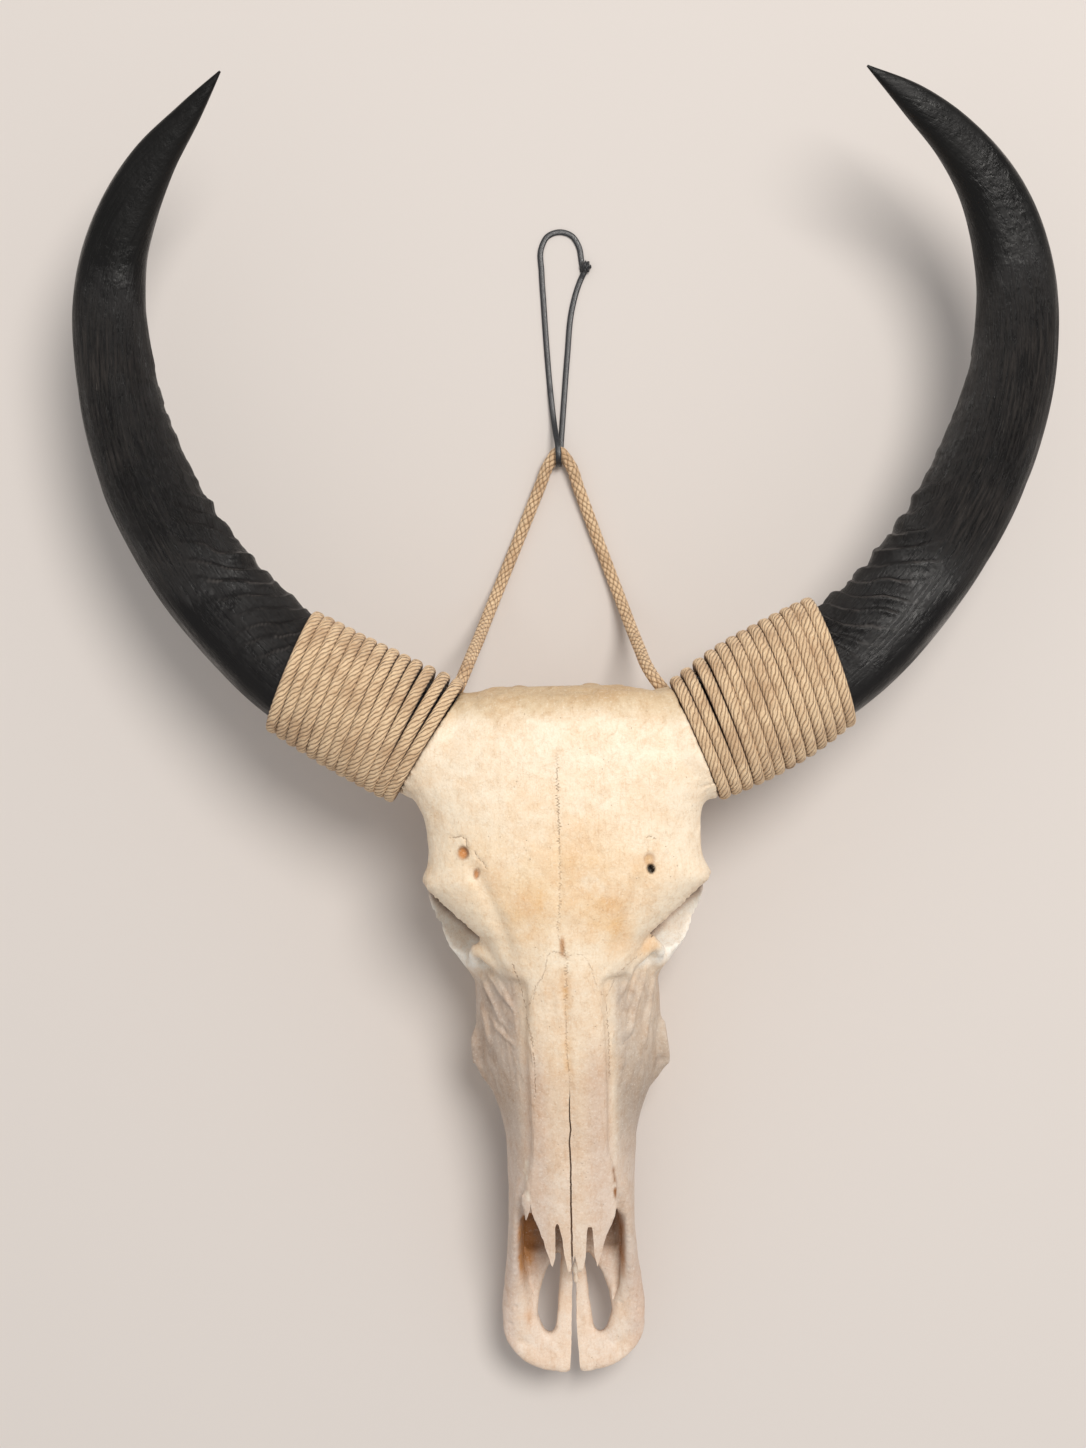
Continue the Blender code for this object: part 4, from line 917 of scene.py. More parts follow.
def spot(x, y, place, radii, turn=0.0, edge=1.0):
    # A soft oval patch: exp(-r^(2 edge)), r the distance over the radii.
    c, s = math.cos(math.radians(turn)), math.sin(math.radians(turn))
    dx, dy = x - place[0], y - place[1]
    r2 = ((dx * c + dy * s) / radii[0]) ** 2 + ((-dx * s + dy * c) / radii[1]) ** 2
    return np.exp(-(r2**edge))


def groove(points, line, width, fade=8.0):
    # 1 on the line, falling off sideways over the width and towards both ends.
    off, along, total = lineDistance(points, line)
    return hump(off, width) * between(along, 0, fade, total - fade, total)


rimLeft = [(-115, -116), (-112.2, -123.7), (-101.3, -140.2), (-94.3, -148.6), (-84.8, -157), (-74.5, -167),
           (-66.5, -172.2)]
rimRight = [(121, -126), (118.2, -134.6), (104.8, -146.4), (86.5, -162.1), (79.8, -170), (72.3, -176.3)]
tuberLeft = [(-73.8, -240), (-76, -263.3), (-77.3, -280.1), (-75, -290)]
tuberRight = [(81.4, -244), (84.2, -268.1), (86.2, -285), (83, -296)]
furrowLeft = [(-77, -101), (-68, -118), (-60, -135), (-52, -155), (-45, -176), (-40, -200)]
furrowRight = [(72, -112), (65, -130), (57, -150), (49, -172), (43, -198)]
cheekLines = [
    # Corners seen from above, height, width.
    ([(-65.8, -195.1), (-51.8, -215.9), (-40, -232.6)], 2.2, 1.9),
    ([(-72, -202), (-63.9, -211.5), (-56.3, -232.1), (-48.8, -252.7)], 2.4, 1.8),
    ([(-62, -236), (-55.2, -248.5), (-45, -258), (-36.9, -265.3)], 1.6, 1.6),
    ([(-70, -222), (-64, -245), (-60, -270)], 1.8, 1.8), ([(-58, -200), (-47, -218), (-38, -240)], 1.3, 1.3),
    ([(-69, -212), (-60, -226), (-52, -244), (-44, -262)], -1.3, 1.4),
    ([(60, -192), (52, -208), (46, -228)], 2.2, 1.9), ([(70, -200), (63, -218), (56, -240), (52, -262)], 2.4, 1.8),
    ([(74, -222), (68, -245), (64, -272)], 1.8, 1.8), ([(66, -194), (57, -213), (50, -236)], -1.4, 1.4),
    ([(77, -208), (71, -228), (66, -250)], 1.4, 1.4),
]
ridgeLines = [
    # The same for lines elsewhere on the face: beside the nasal bones, and the edge of the temple on the right.
    ([(-29.9, -250), (-27.7, -259.2), (-26.3, -267.4), (-26, -278)], 1.0, 1.2),
    ([(38.5, -250), (37.8, -262), (37.2, -274)], 1.0, 1.3), ([(118, -74), (112.5, -92), (115.5, -112)], 1.2, 1.6),
    ([(33, -259), (45.6, -265), (60.6, -253.5)], -0.7, 1.0), ([(-33, -205), (-32, -240)], -0.5, 3.0),
]

foreheadDip = [(0, -60), (-1, -120), (-2, -170)]
foreheadCracks = [
    [(-88.8, -88.8), (-83.2, -89), (-78.4, -87.5), (-74.5, -90.8), (-73.9, -96.4), (-70.7, -98.1)],
    [(-68.3, -99), (-66.1, -105.5), (-61.4, -108.8), (-58.4, -115.3)],
    [(68.6, -92.7), (73.4, -92.1), (78.1, -95.4)],
]
# Pits above the eyes: place, radii, turn, depth.
pits = [((-77.2, -101.1), (3.6, 4.6), 20, 4.6), ((-67.3, -118.2), (1.9, 4.0), -18, 3.0),
        ((71.6, -110.5), (4.4, 4.6), 0, 2.0), ((72.8, -118.4), (2.7, 3.4), 15, 7.5)]
socketKnobs = [(-77.7, -180.8), (-79.5, -187.5), (-74, -176.5), (83.8, -185.7), (75, -177.5), (81.2, -192)]
# Rough corners under the ropes: place, reach, depth.
hornCorners = [((-125, -50), 21, 0.42), ((127, -52), 24, 0.6)]
# Heights and depths of the forms that the relief adds to the face.
face = {"furrow": 2.6, "brow": 1.4, "dip": 0.8, "pitRim": 0.5, "cracks": (0.9, 0.8, 0.8), "knob": 1.6,
        "rimTeeth": 0.9, "rimSwell": 0.4, "tubercle": 1.9, "tubercleDip": 2.2, "cheek": 1.35, "cheekGrain": 0.6,
        "cornerGrain": 0.3, "nape": 1.0, "napeGrain": 0.5, "snout": 0.35, "snoutHoles": 0.9, "nasalGrain": 0.35,
        "nasalHollow": 0.7}


def relief(p, n):
    # Height in mm that is added along the normal: broad furrows and hollows, pits, ridges, rough edges and pores.
    x, y, z = p.T
    flat, down, wide = p[:, :2], -y, np.abs(x)
    top = step01(n[:, 2], 0.05, 0.45)
    h = 0.35 * latticeNoise(p, 19, 1) + 0.16 * latticeNoise(p, 7, 2) + 0.07 * latticeNoise(p, 3, 3)
    for line in (furrowLeft, furrowRight):
        h -= face["furrow"] * groove(flat, line, 6.5, 24) * top
    h += face["brow"] * spot(x, y, (0, -150), (26, 40)) * top
    h -= face["dip"] * groove(flat, foreheadDip, 4, 30) * top
    for place, radii, turn, deep in pits:
        h -= deep * spot(x, y, place, radii, turn, 2) * top
        h -= face["pitRim"] * spot(x, y, place, (2.6 * radii[0], 2.3 * radii[1]), turn) * top
    for line, deep in zip(foreheadCracks, face["cracks"]):
        h -= deep * groove(flat, line, 1.0, 3) * top
    for place in socketKnobs:
        h += face["knob"] * spot(x, y, place, (3.2, 3.4)) * step01(z, 105, 125)
    for line in (rimLeft, rimRight):
        off, along, total = lineDistance(flat, line)
        teeth = face["rimTeeth"] * grain(31, along / 2.6, z / 9) + face["rimSwell"]
        h += hump(off, 5) * step01(z, 128, 140) * teeth
    for line, inward in ((tuberLeft, 6.0), (tuberRight, -6.0)):
        off, along, total = lineDistance(flat, line)
        ends = between(along, 0, 9, total - 9, total)
        h += face["tubercle"] * hump(off, 1.9) * ends * step01(n[:, 2], -0.2, 0.2)
        inside = lineDistance(flat - np.array([inward, 0]), line)[0]
        h -= face["tubercleDip"] * hump(inside, 3.0) * ends * top
    cheek = between(down, 186, 205, 290, 330) * step01(wide, 30, 40) * step01(n[:, 2], -0.1, 0.3)
    for line, tall, width in cheekLines:
        h += face["cheek"] * tall * groove(flat, line, width, 14) * cheek
    for line, tall, width in ridgeLines:
        h += tall * groove(flat, line, width, 8) * top
    h += face["cheekGrain"] * cheek * grain(41, x / 4, y / 16, z / 5)
    for place, reach, deep in hornCorners:
        dx, dy = x - place[0], y - place[1]
        r = np.hypot(dx, dy)
        fan = deep * grain(44, np.arctan2(dy, dx) * 5.5, r / 26)
        rough = fan + face["cornerGrain"] * latticeNoise(p, 3.0, 45)
        h += rough * fall(r, 8, reach) * step01(z, 100, 130)
    nape = face["nape"] * latticeNoise(p, 19, 46) + face["napeGrain"] * latticeNoise(p, 6, 47)
    h += step01(y, 0, 20) * nape
    holes = step01(latticeNoise(p, 5.5, 49), 0.5, 0.75)
    h += step01(down, 470, 500) * (face["snout"] * latticeNoise(p, 9, 48) - face["snoutHoles"] * holes)
    middle = face["nasalGrain"] * grain(50, x / 5, y / 28, z / 20) - face["nasalHollow"] * hump(x - 2, 3.2)
    return h + step01(down, 186, 205) * fall(wide, 26, 33) * top * middle


def wiggle(at, seed, coarse=5.0, fine=2.1):
    # Two sizes of noise along one axis, the finer one half as strong.
    return grain(seed, at / coarse) + 0.5 * grain(seed + 1, at / fine)


def nasalCutter(side, grow):
    # A block over one nasal bone, or over both where side is 0, with ragged side edges.
    places = np.linspace(nasalEdge[0][0], nasalEdge[-1][0], 240)
    left, right = smoothThrough(sorted(nasalEdge), places).T
    leftWall, rightWall = smoothThrough(sorted(noseMouth), np.minimum(places, noseMouth[0][0])).T
    top, thick = smoothThrough(sorted(nasalRoof), places).T[1:]
    free, cover = places < nasal["free"], nasal["cover"]
    low = np.where(free, top - thick - nasal["gap"], top - np.minimum(thick, nasal["thickness"])) - grow
    ragged = 0.55 * step01(left, 2, 12)
    left, right = left + ragged * wiggle(places, 61), right + ragged * wiggle(places, 71)
    if side == 0:
        a = -np.where(free, leftWall + 0.5 * wiggle(places, 62), left + 1.5 * grow)
        b = np.where(free, rightWall + 0.5 * wiggle(places, 72), right + 1.5 * grow)
    else:
        inner = np.interp(places, *slitMiddle) + side * np.interp(places, *slitHalf) + 0.22 * wiggle(places, 81)
        a, b = (-left, inner) if side < 0 else (inner, right)
    a = np.minimum(a, b - 0.05)
    lowA, lowB = low - nasalSag(places, a), low - nasalSag(places, b)
    mid, lowMid = ((a + b) / 2, (lowA + lowB) / 2) if side else (0 * a, low)
    corners = ((a, lowA), (mid, lowMid), (b, lowB), (b, top + cover), (a, top + cover))
    rings = list(np.stack([np.column_stack([u, places, w]) for u, w in corners], 1))
    if grow:
        rings = [rings[0] + np.array([0, grow, 0])] + rings + [rings[-1] - np.array([0, cover, 0])]
    return ringLoft(rings)


def seamCutter(seam, back, seed, ragged):
    # A block in front of a seam that is drawn from the side, carried across the skull, wandering as it goes.
    line = evenly(seam, 3.0)
    x, z = np.meshgrid(np.linspace(-110, 110, 150), line[:, 1], indexing="ij")
    y = line[:, 0] + back + ragged * (grain(seed, x / 9, z / 9) + 0.6 * grain(seed + 1, x / 4, z / 4))
    x, y, z = (np.column_stack([q, more]) for q, more in
               ((x, x[:, :2]), (y, np.full((len(x), 2), farFront)), (z, z[:, [-1, 0]])))
    return ringLoft(np.stack([x, y, z], -1))


def halfCutter(side, y, x):
    # Everything on one side of a line drawn from above.
    back = [(side * farOut, y[-1]), (side * farOut, y[0])]
    return upright(np.vstack([np.column_stack([x, y]), back]), -20, high)


def rimCutter(side, line):
    # A block whose inner edge is the toothed upper rim of an eye socket, so that the rim ends in a sharp edge.
    line = evenly(line, 0.9)
    ahead = unit(np.gradient(line, axis=0))
    out = np.column_stack([-ahead[:, 1], ahead[:, 0]])
    out *= np.where(out[:, :1] * side < 0, -1, 1)
    teeth = 0.55 * wiggle(np.arange(len(line)) * 0.9, 141 + side, 3.2, 1.3) + 0.3
    reach = 13 * fall(np.linspace(0, 1, len(line)), 0.7, 1.0) + 1.2
    return upright(np.vstack([line + out * teeth[:, None], (line + out * reach[:, None])[::-1]]), rimBottom, high)


def partBones(whole):
    # Each bone is what its own block covers, and the rest loses that block, grown by a fine slit.
    pieces, sides = {}, ((-1, "left"), (1, "right"))
    for side, word in sides:
        piece = kept(whole, nasalCutter(side, 0))
        for notch in nasalNotches:
            edge = evenly(notch, 1.5)
            edge[:, 0] += 0.3 * wiggle(edge[:, 1], 91 + side, 6, 3) * step01(edge[:, 1], -458, -450)
            cut(piece, upright(edge, 60, high))
        pieces["nasal_" + word] = keepLargest(piece)
    cut(whole, nasalCutter(0, bone["slit"]))
    front = kept(whole, seamCutter(premaxillaSeam, 0, 101, 0.5))
    cut(whole, seamCutter(premaxillaSeam, bone["slit"], 101, 0.5))
    jaw = kept(whole, seamCutter(jawSeam, 0, 111, 1.6))
    cut(whole, seamCutter(jawSeam, bone["slit"], 111, 1.6))
    for side, word in sides:
        y = np.arange(-560, -380, 1.5)
        cleft = np.interp(y, *np.array(sorted(midlineCleft)).T[[0, 2 if side > 0 else 1]])
        x = cleft + 0.35 * wiggle(y, 121 + side, 8, 4)
        pieces["premaxilla_" + word] = keepLargest(kept(front, halfCutter(side, y, x)))
        y = np.arange(-480, -150, 1.5)
        x = side * bone["gap"] / 2 + 0.5 * wiggle(y, 131)
        pieces["upper_jaw_" + word] = keepLargest(kept(jaw, halfCutter(side, y, x)))
    for spare in (front, jaw):
        bpy.data.objects.remove(spare)
    pieces["cranium"] = keepLargest(whole)
    return pieces


def sutureLine(tree, name, where, sway, zigzag, period, width):
    # How dark a suture is: its signed distance is bent by noise and by a zigzag along it, and cut by its width.
    parts = add(tree, "SeparateXYZ", {0: attribute(tree, name, "Vector")}).outputs
    bend = times(tree, minus(tree, noise(tree, where, 210, 3, 0.6), 0.5), sway)
    tooth = sums(tree, "PINGPONG", times(tree, parts[1], 2 / period), 1.0)
    tall = times(tree, spread(tree, noise(tree, where, 140, 2), 0.35, 0.7), zigzag)
    bend = plus(tree, bend, times(tree, minus(tree, tooth, 0.5), tall))
    line = spread(tree, sums(tree, "ABSOLUTE", plus(tree, parts[0], bend)), width, 0.3 * width)
    broken = spread(tree, noise(tree, where, 330, 2), 0.38, 0.55)
    return times(tree, times(tree, line, parts[2]), broken, True)


def boneMaterial():
    # The painted tint under thin coats of clouds, veins, grain, streaks, worm-like marks, pores and sutures.
    made, tree, shader = newMaterial("oldBone", bone["base"], {"Roughness": 0.6, "Specular IOR Level": 0.38})
    where = add(tree, "TexCoord").outputs["Object"]
    cloud, grainy = noise(tree, where, 42, 5, 0.65), noise(tree, where, 560, 4, 0.7)
    vein = noise(tree, where, 95, 5, 0.7, twist=1.2)
    streak = noise(tree, where, 1.0, 4, 0.65, stretch=(420, 90, 260))
    # Worm-like marks: narrow bands where a strongly bent noise crosses its middle.
    worm = sums(tree, "ABSOLUTE", minus(tree, noise(tree, where, 200, 2, 0.5, twist=2.2), 0.5))
    worm = times(tree, spread(tree, worm, 0.07, 0.005), spread(tree, vein, 0.40, 0.6), True)
    pores = add(tree, "TexVoronoi", {"Vector": where, "Scale": 230.0, "Randomness": 1.0}).outputs["Distance"]
    pore = times(tree, spread(tree, pores, 0.12, 0.05), spread(tree, noise(tree, where, 60, 2), 0.54, 0.62), True)
    seam = sums(tree, "MAXIMUM", sutureLine(tree, "midSeam", where, 3.2, 3.6, 2.6, 0.75),
                sutureLine(tree, "sideSeam", where, 2.6, 1.6, 3.4, 0.62))
    colour = coats(tree, attribute(tree, "tint", "Color"),
                   (spread(tree, cloud, 0.38, 0.68, 0.0, 0.3), bone["cloud"], "MULTIPLY"),
                   (spread(tree, vein, 0.50, 0.70, 0.0, 0.2), bone["vein"], "MULTIPLY"),
                   (spread(tree, grainy, 0.48, 0.7, 0.0, 0.22), bone["grain"], "MULTIPLY"),
                   (spread(tree, grainy, 0.46, 0.3, 0.0, 0.35), bone["paleGrain"]),
                   (spread(tree, streak, 0.5, 0.7, 0.0, 0.22), bone["streak"], "MULTIPLY"),
                   (times(tree, worm, 0.11), bone["worm"], "MULTIPLY"), (times(tree, pore, 0.22), bone["pore"]),
                   (times(tree, seam, 0.46), bone["seam"]))
    height = minus(tree, times(tree, grainy, 0.5), plus(tree, pore, seam))
    height = plus(tree, height, times(tree, noise(tree, where, 150, 5, 0.65), 1.1))
    height = minus(tree, height, plus(tree, times(tree, worm, 0.15), times(tree, streak, -0.4)))
    finishShader(tree, shader, colour, height, 0.0008, 0.85, spread(tree, vein, 0.35, 0.7, 0.38, 0.62))
    return made


boneSkin = boneMaterial()

sutures = [
    # Corners seen from above, strength.
    ([(3.5, -187.5), (-2, -183.4), (-8.4, -182.4), (-12.6, -187.1), (-14.5, -197.4), (-17.9, -205.4), (-21.3, -209.3),
      (-23.9, -214.8), (-24.8, -221.2), (-28.2, -226), (-30.8, -230.7)], 0.55),
    ([(3.5, -187.5), (10, -184.5), (16.4, -186.3), (20.2, -192.1), (23.2, -198.6), (26.1, -210.7), (29.9, -217.2),
      (33.7, -223)], 0.5),
    ([(-41.6, -189.1), (-38.7, -198.8), (-35, -209.4), (-32.9, -221.5), (-30.8, -231.3)], 0.9),
    ([(33.8, -223.5), (38.9, -215.6), (44.1, -203.7), (54, -196), (66.3, -188.3)], 0.45),
    ([(-31, -233.3), (-26.8, -256.2), (-25.5, -272.5), (-25.4, -305)], 0.8),
    ([(34.2, -225.5), (35.7, -258.1), (35.5, -290.6)], 0.8),
] + [(line, 0.8) for line in foreheadCracks]
midLine = [(0, 30), (-0.2, -13), (-0.2, -124), (-2, -152), (-3.3, -169.8), (0.5, -180), (3.3, -188),
           (1.6, -222), (1.0, -254), (2.6, -300)]


def seamValues(p, n):
    # Signed distance to the middle suture, distance along it and its strength; then the same for the nearest of
    # the other sutures.
    flat, down = p[:, :2], -p[:, 1]
    up = step01(n[:, 2], 0.0, 0.3)
    off, along, total = lineDistance(flat, midLine)
    strength = between(down, 14, 50, 285, 300) * (0.55 + 0.45 * step01(down, 120, 60))
    middle = np.column_stack([off, along, strength * up * (np.abs(off) < 8)])
    side, best = np.zeros((len(p), 3)), np.full(len(p), 1e9)
    for k, (line, strong) in enumerate(sutures):
        off, along, total = lineDistance(flat, line)
        strength = strong * between(along, 0, 3, total - 3, total) * up * fall(np.abs(off), 3, 4.5)
        nearer = np.abs(off) < best
        side[nearer] = np.column_stack([off, along + 40 * k, strength])[nearer]
        best = np.minimum(best, np.abs(off))
    return middle, side


# Warm patches on the forehead: place, radii, share. Then the tints in the pits, dark brown rings and orange middles,
# near black in the deepest one: place, radii, colour, share.
warmSpots = [
    ((31, -141), (20, 34), 0.45), ((46, -166), (11, 18), 0.5), ((-33, -160), (15, 28), 0.45),
    ((-17, -140), (12, 22), 0.5), ((23, -125), (18, 16), 0.45), ((63, -126), (14, 14), 0.35),
    ((-58, -128), (14, 14), 0.4), ((0, -75), (34, 26), 0.3), ((-70, -192), (12, 9), 0.35),
    ((70, -184), (12, 7), 0.4), ((-55, -90), (20, 12), 0.25),
]
pitTints = [
    ((-77.2, -101.1), (4.8, 5.8), (118, 78, 48), 0.75), ((-77.6, -101.6), (3.6, 4.6), (214, 152, 92), 0.95),
    ((-67.3, -118.2), (2.4, 4.8), (130, 88, 56), 0.6), ((-67.3, -118.6), (1.6, 3.8), (204, 150, 102), 0.9),
    ((71.6, -110.8), (4.8, 5.2), (186, 132, 84), 0.55), ((71.2, -110.6), (3.4, 3.8), (236, 204, 160), 0.8),
    ((73.0, -118.4), (3.0, 3.8), (24, 16, 11), 1.4), ((0, -178), (2.2, 8), (190, 136, 82), 0.75),
]


def boneTint(p, n):
    # The colour of each place: ivory, with patches painted over it in turn, each a soft oval or a band along a line.
    x, y, z = p.T
    flat, down, wide = p[:, :2], -y, np.abs(x)
    tint = np.tile(screen(252, 236, 212), (len(p), 1))

    def over(share, r, g, b):
        tint[:] = tint + np.clip(share, 0, 1)[:, None] * (np.array(screen(r, g, b)) - tint)

    wander = latticeNoise(p, 22, 201) * 0.5 + latticeNoise(p, 9, 202) * 0.3
    blotch, fine = layeredNoise(p, 14, 203, 3), latticeNoise(p, 4.5, 204)
    up = step01(n[:, 2], -0.3, 0.2)
    # Nape, forehead and the furrows beside it. Lower down the bone is darker. The nape band is partly a brownish
    # stain and partly painted shade where the surface rolls down to the back.
    over(0.35 * fall(z, 60, 150), 222, 196, 166)
    over(0.7 * step01(y + 9 * wander + 7 * blotch, -6, 18), 220, 196, 158)
    over(0.55 * step01(y + 5 * wander + 4 * fine, 8, 26), 196, 166, 126)
    over(0.55 * spot(x, y, (-4, -122), (70, 50)) * (1 + wander), 249, 222, 182)
    for place, radii, share in warmSpots:
        over(share * spot(x, y, place, radii) * (1 + 1.8 * wander + 0.4 * fine), 240, 200, 150)
    for line in (furrowLeft, furrowRight):
        over(0.4 * groove(flat, line, 5, 20) * up, 252, 232, 204)
    # Nasal bones, then cheeks, then snout.
    over(0.45 * step01(down, 180, 230) * fall(wide, 30, 42), 232, 206, 178)
    over(0.5 * between(down, 265, 300, 330, 375) * fall(wide, 28, 40), 214, 186, 160)
    middle = hump(x - 1.6, 4.5) * between(down, 186, 200, 280, 310)
    over(0.6 * middle * (0.45 + 1.2 * wander + 0.5 * fine), 228, 182, 126)
    cheek = step01(down, 186, 222) * step01(z, 40, 90)
    over(0.8 * cheek * step01(wide, 29, 42) * fall(x, -10, 10), 190, 172, 160)
    over(0.75 * cheek * step01(wide, 33, 46) * step01(x, -10, 10), 198, 182, 168)
    over(0.55 * step01(down, 235, 290) * between(wide, 9, 24, 32, 40), 212, 188, 172)
    cheek *= step01(wide, 34, 46)
    over(0.4 * cheek * spot(x, y, (-52, -312), (22, 34)), 168, 148, 130)
    over(0.85 * cheek * spot(x, y, (62, -318), (26, 42)), 172, 156, 142)
    over(0.3 * cheek * step01(blotch, 0.1, 0.6), 158, 142, 132)
    over(0.5 * step01(down, 300, 390), 230, 212, 200)
    over(0.65 * step01(down, 455, 505) * step01(z, 40, 52) * up, 252, 234, 216)
    over(0.4 * step01(down, 430, 480) * step01(wide, 42, 56), 206, 180, 170)
    # Painted shade: surfaces below the top that don't face up are darker brown.
    over(0.5 * fall(n[:, 2], -0.4, 0.1) * fall(z, 150, 175), 200, 168, 134)
    # Inside of the nose: painted shade, dark brown, deep in the opening under the nasal bones; stained orange on the
    # side walls.
    over(0.85 * between(down, 300, 330, 430, 462) * fall(wide, 38, 44) * fall(z, 92, 116), 138, 96, 60)
    below = fall(z, 96, 104) * between(down, 396, 404, 452, 476)
    over(below * between(-x, 20, 38, 42, 46) * (0.9 + wander + 0.5 * fine), 206, 150, 96)
    over(below * between(x, 39, 43, 44, 47) * (0.9 + wander), 190, 136, 90)
    over(0.5 * spot(x, y, (-37, -503), (3.5, 8)), 210, 152, 92)
    # Eye sockets: painted light, near-white, over the floor that the rim shades; painted shade, brown to dark brown,
    # below the upper rim; and a brownish line along the rim's edge.
    for line, side, shadeReach, dark in ((rimLeft, -1, 12, 8), (rimRight, 1, 10, 5)):
        off = np.abs(lineDistance(flat, line)[0])
        hollow = (x * side > 0) * fall(z, 132, 146) * step01(wide, 50, 58) * between(down, 112, 122, 196, 206)
        # Painted light on the socket's floor:
        over(hollow, 255, 252, 244)
        # Painted shade below the upper rim:
        over(0.6 * hollow * fall(off, 4, shadeReach), 168, 128, 96)
        over(0.85 * hollow * fall(off, 1, dark), 70, 46, 32)
        over(0.4 * hump(off, 1.6) * step01(z, 136, 142) * (0.7 + fine), 176, 132, 92)
    # Rough strips beside the nasal bones, the stain above them, pits and holes.
    over(0.7 * groove(flat, [(-33.5, -355), (-35.5, -375), (-33.5, -396)], 2.0, 8) * (1 + fine), 248, 240, 228)
    over(0.6 * groove(flat, [(36.5, -362), (38, -380), (37.5, -396)], 1.3, 8) * (1 + 2 * fine), 158, 106, 60)
    over(0.5 * groove(flat, [(-4, -181), (0, -186), (7, -188)], 1.6, 4) * up, 190, 136, 84)
    for place, radii, colour, share in pitTints:
        over(share * spot(x, y, place, radii, 0, 3) * step01(n[:, 2], -0.9, -0.4) * step01(z, 140, 150), *colour)
    return tint


def dressBone(obj, node):
    # Gives a bone its painted tint, its suture values, its material and its name.
    mesh = obj.data
    p, n = toSkull(pointValues(mesh)), pointValues(mesh, "normal")
    for key, values in zip(("tint", "midSeam", "sideSeam"), (boneTint(p, n), *seamValues(p, n))):
        putAttribute(mesh, key, values)
    mesh.materials.clear()
    mesh.materials.append(boneSkin)
    mesh.shade_smooth()
    mesh.set_sharp_from_angle(angle=math.radians(62))
    first, *words = node.split("_")
    obj.name = first + "".join(w.capitalize() for w in words) + "Bone"
    mesh.name = obj.name
    return finishPiece(obj, "bone", node)


def vomerTip():
    # The free end of the thin bone between the two halves of the front: a drop, x and z from circles whose radius
    # is an uneven arch of the place along it.
    share, a = np.meshgrid(np.linspace(0, 1, 40), fullTurn(24), indexing="ij")
    wide = arch(share) * (0.62 + 0.38 * np.sin(share * 5.2) ** 2)
    co = np.stack([3.2 + 0.9 * share + 3.0 * wide * np.cos(a), -458 - 19 * share,
                   63 - 3 * share + 4.6 * wide * np.sin(a)], -1).reshape(-1, 3)
    co[:, 0] += 0.35 * latticeNoise(co, 3, 161)
    tint = np.tile(screen(255, 240, 222)[:3], (len(co), 1))
    return finishPiece(putMesh("vomerTip", toRow(co), tubeFaces(*share.shape), boneSkin, tint=tint), "bone")


def inView(p, n):
    # The top of the skull, and its edges, as far down as the eye sockets.
    x, y, z = p.T
    top = (n[:, 2] > bone["fineFrom"]) & (z > 140) & (y > -190) & (y < 30)
    nape = (n[:, 2] > -0.1) & (z > 150) & (y > -15)
    face = (n[:, 2] > 0) & (y <= -170) & (z > 62)
    rim = (n[:, 2] > -0.2) & (z > 128) & (y < -110) & (y > -200) & (np.abs(x) > 60)
    return top | nape | face | rim


skull = fusedSkull()
print("skull is fused:", len(skull.data.polygons), "faces")
refine(skull.data, inView)
p, n = toSkull(pointValues(skull.data)), pointValues(skull.data, "normal")
setPoints(skull.data, toRow(p + n * relief(p, n)[:, None]))
print("relief is on:", len(skull.data.polygons), "faces")
for side, line in ((-1, rimLeft), (1, rimRight)):
    cut(skull, rimCutter(side, line))
for line in noseRims:
    edge = evenly(line, 1.5)
    edge[:, 0] += 0.35 * wiggle(edge[:, 1], 151, 5, 2)
    inner = [(0.6 * x, y) for x, y in (line[-1], line[0])]
    cut(skull, upright(np.vstack([edge, inner]), *noseHeights))
for node, piece in partBones(skull).items():
    dressBone(piece, node)
    print(node, "has", sum(len(f.vertices) - 2 for f in piece.data.polygons), "triangles")
vomerTip()

toothRow = {"sizes": [(17, 14, 44), (19, 17, 46.5), (19, 20, 49), (26, 23, 51), (30, 24, 52), (31, 22, 51)],
            "front": -324, "space": 0.7, "rootTop": 31, "levels": 14, "sides": 72, "square": 4.5,
            "enamel": (238, 224, 196), "root": (196, 160, 112)}
# The chewing face, from its edge to its middle: share of the outline's size, height.
chewing = [(0.9, 0.0), (0.8, 0.0), (0.72, 0.9), (0.6, 1.5), (0.46, 0.7), (0.34, 1.0), (0.18, 2.2), (0.03, 2.5)]


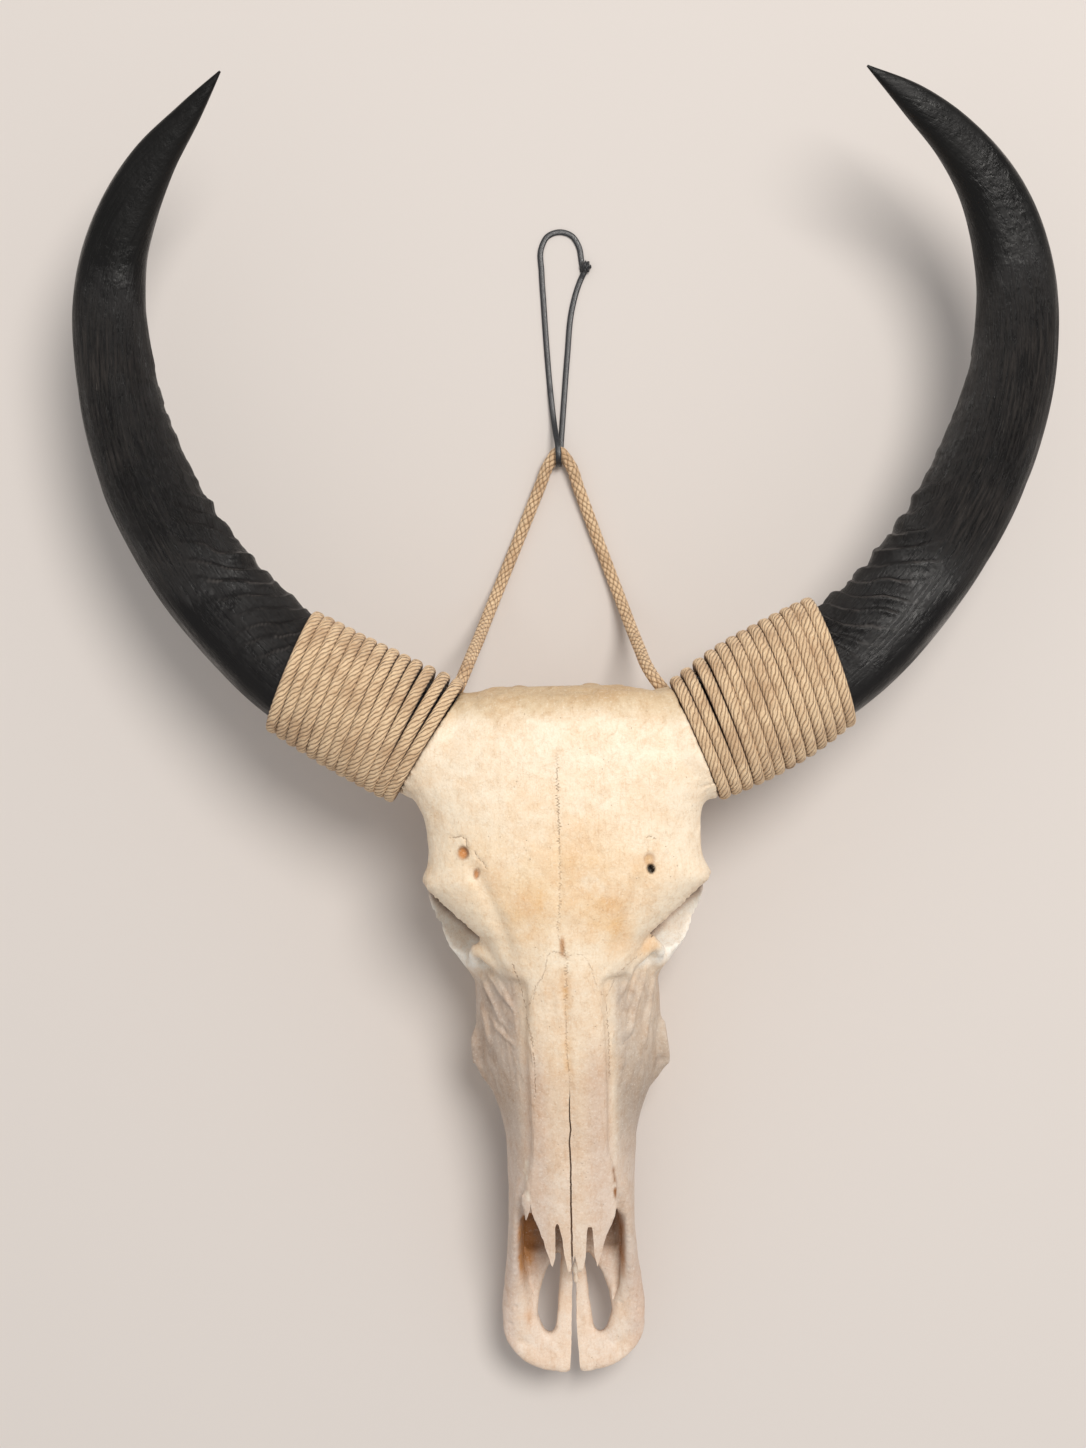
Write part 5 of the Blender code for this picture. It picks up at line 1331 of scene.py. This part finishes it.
def teethRow(name, side):
    # Each tooth is a tall block whose outline is a rounded rectangle r(t) with two lobes on its cheek side and one
    # fold on the other; its chewing face dips in the middle and rises to worn enamel ridges.
    t, k = fullTurn(toothRow["sides"]), toothRow["square"]
    c, s = np.cos(t), np.sin(t)
    box = (np.abs(c) ** k + np.abs(s) ** k) ** (-1 / k)
    cheek = step01(s, 0.2, 0.8)
    fold = 1 - 0.16 * cheek * hump(c, 0.16) - 0.10 * (1 - cheek) * hump(c, 0.2)
    fold -= 0.05 * cheek * hump(np.abs(c) - 0.62, 0.16)
    profile = [(1 - 0.05 * step01(z, 12, 31) - 0.05 * fall(z, 0.5, 2.5), z)
               for z in np.linspace(toothRow["rootTop"], 0.5, toothRow["levels"])] + chewing
    rings, faces, front = [], [], toothRow["front"]
    for long, wide, across in toothRow["sizes"]:
        half = (long - toothRow["space"]) / 2
        middle = np.array([side * across, front + half])
        out = np.column_stack([side * wide / 2 * box * s * fold, half * box * c * np.clip(fold + 0.1, 0, 1)])
        faces += tubeFaces(len(profile), len(t), len(rings) * len(t))
        rings += [np.column_stack([middle + out * share, np.full(len(t), z)]) for share, z in profile]
        front += long
    points = np.vstack(rings)
    share = step01(points[:, 2], 4, 20)[:, None]
    tint = np.array(screen(*toothRow["enamel"])) * (1 - share) + np.array(screen(*toothRow["root"])) * share
    piece = putMesh(name, toRow(points), faces, boneSkin, tint=tint)
    piece.data.set_sharp_from_angle(angle=math.radians(50))
    return finishPiece(piece, "bone")


teethRow("teethLeft", -1)
teethRow("teethRight", 1)
print("teeth are made")

stage = {"floor": (218, 211, 206), "size": 14.0, "keyPower": 166.0, "keyPlace": (1.2, 1.5, 4.6), "keySize": 2.1,
         "keyColour": (1.0, 0.965, 0.92), "sky": screen(240, 239, 238), "skyPower": 0.575}


def studio():
    # A pale floor, one large soft lamp from the upper right and an even sky.
    half = stage["size"] / 2
    mesh = bpy.data.meshes.new("floor")
    mesh.from_pydata([(-half, -half, 0), (half, -half, 0), (half, half, 0), (-half, half, 0)], [], [(0, 1, 2, 3)])
    mesh.materials.append(newMaterial("paleFloor", stage["floor"], {"Roughness": 0.9})[0])
    floor = putObject("floor", mesh)
    key = bpy.data.lights.new("softKey", "AREA")
    key.shape, key.size = "DISK", stage["keySize"]
    key.energy, key.color = stage["keyPower"], stage["keyColour"]
    lamp = putObject("softKey", key)
    lamp.location = stage["keyPlace"]
    lamp.rotation_euler = (-Vector(stage["keyPlace"])).to_track_quat("-Z", "Y").to_euler()
    world = bpy.data.worlds.new("studio")
    world.use_nodes = True
    back = world.node_tree.nodes["Background"]
    back.inputs[0].default_value = stage["sky"]
    back.inputs[1].default_value = stage["skyPower"]
    bpy.context.scene.world = world
    bpy.context.scene.view_settings.view_transform = "Standard"


studio()
print("floor and light are set")
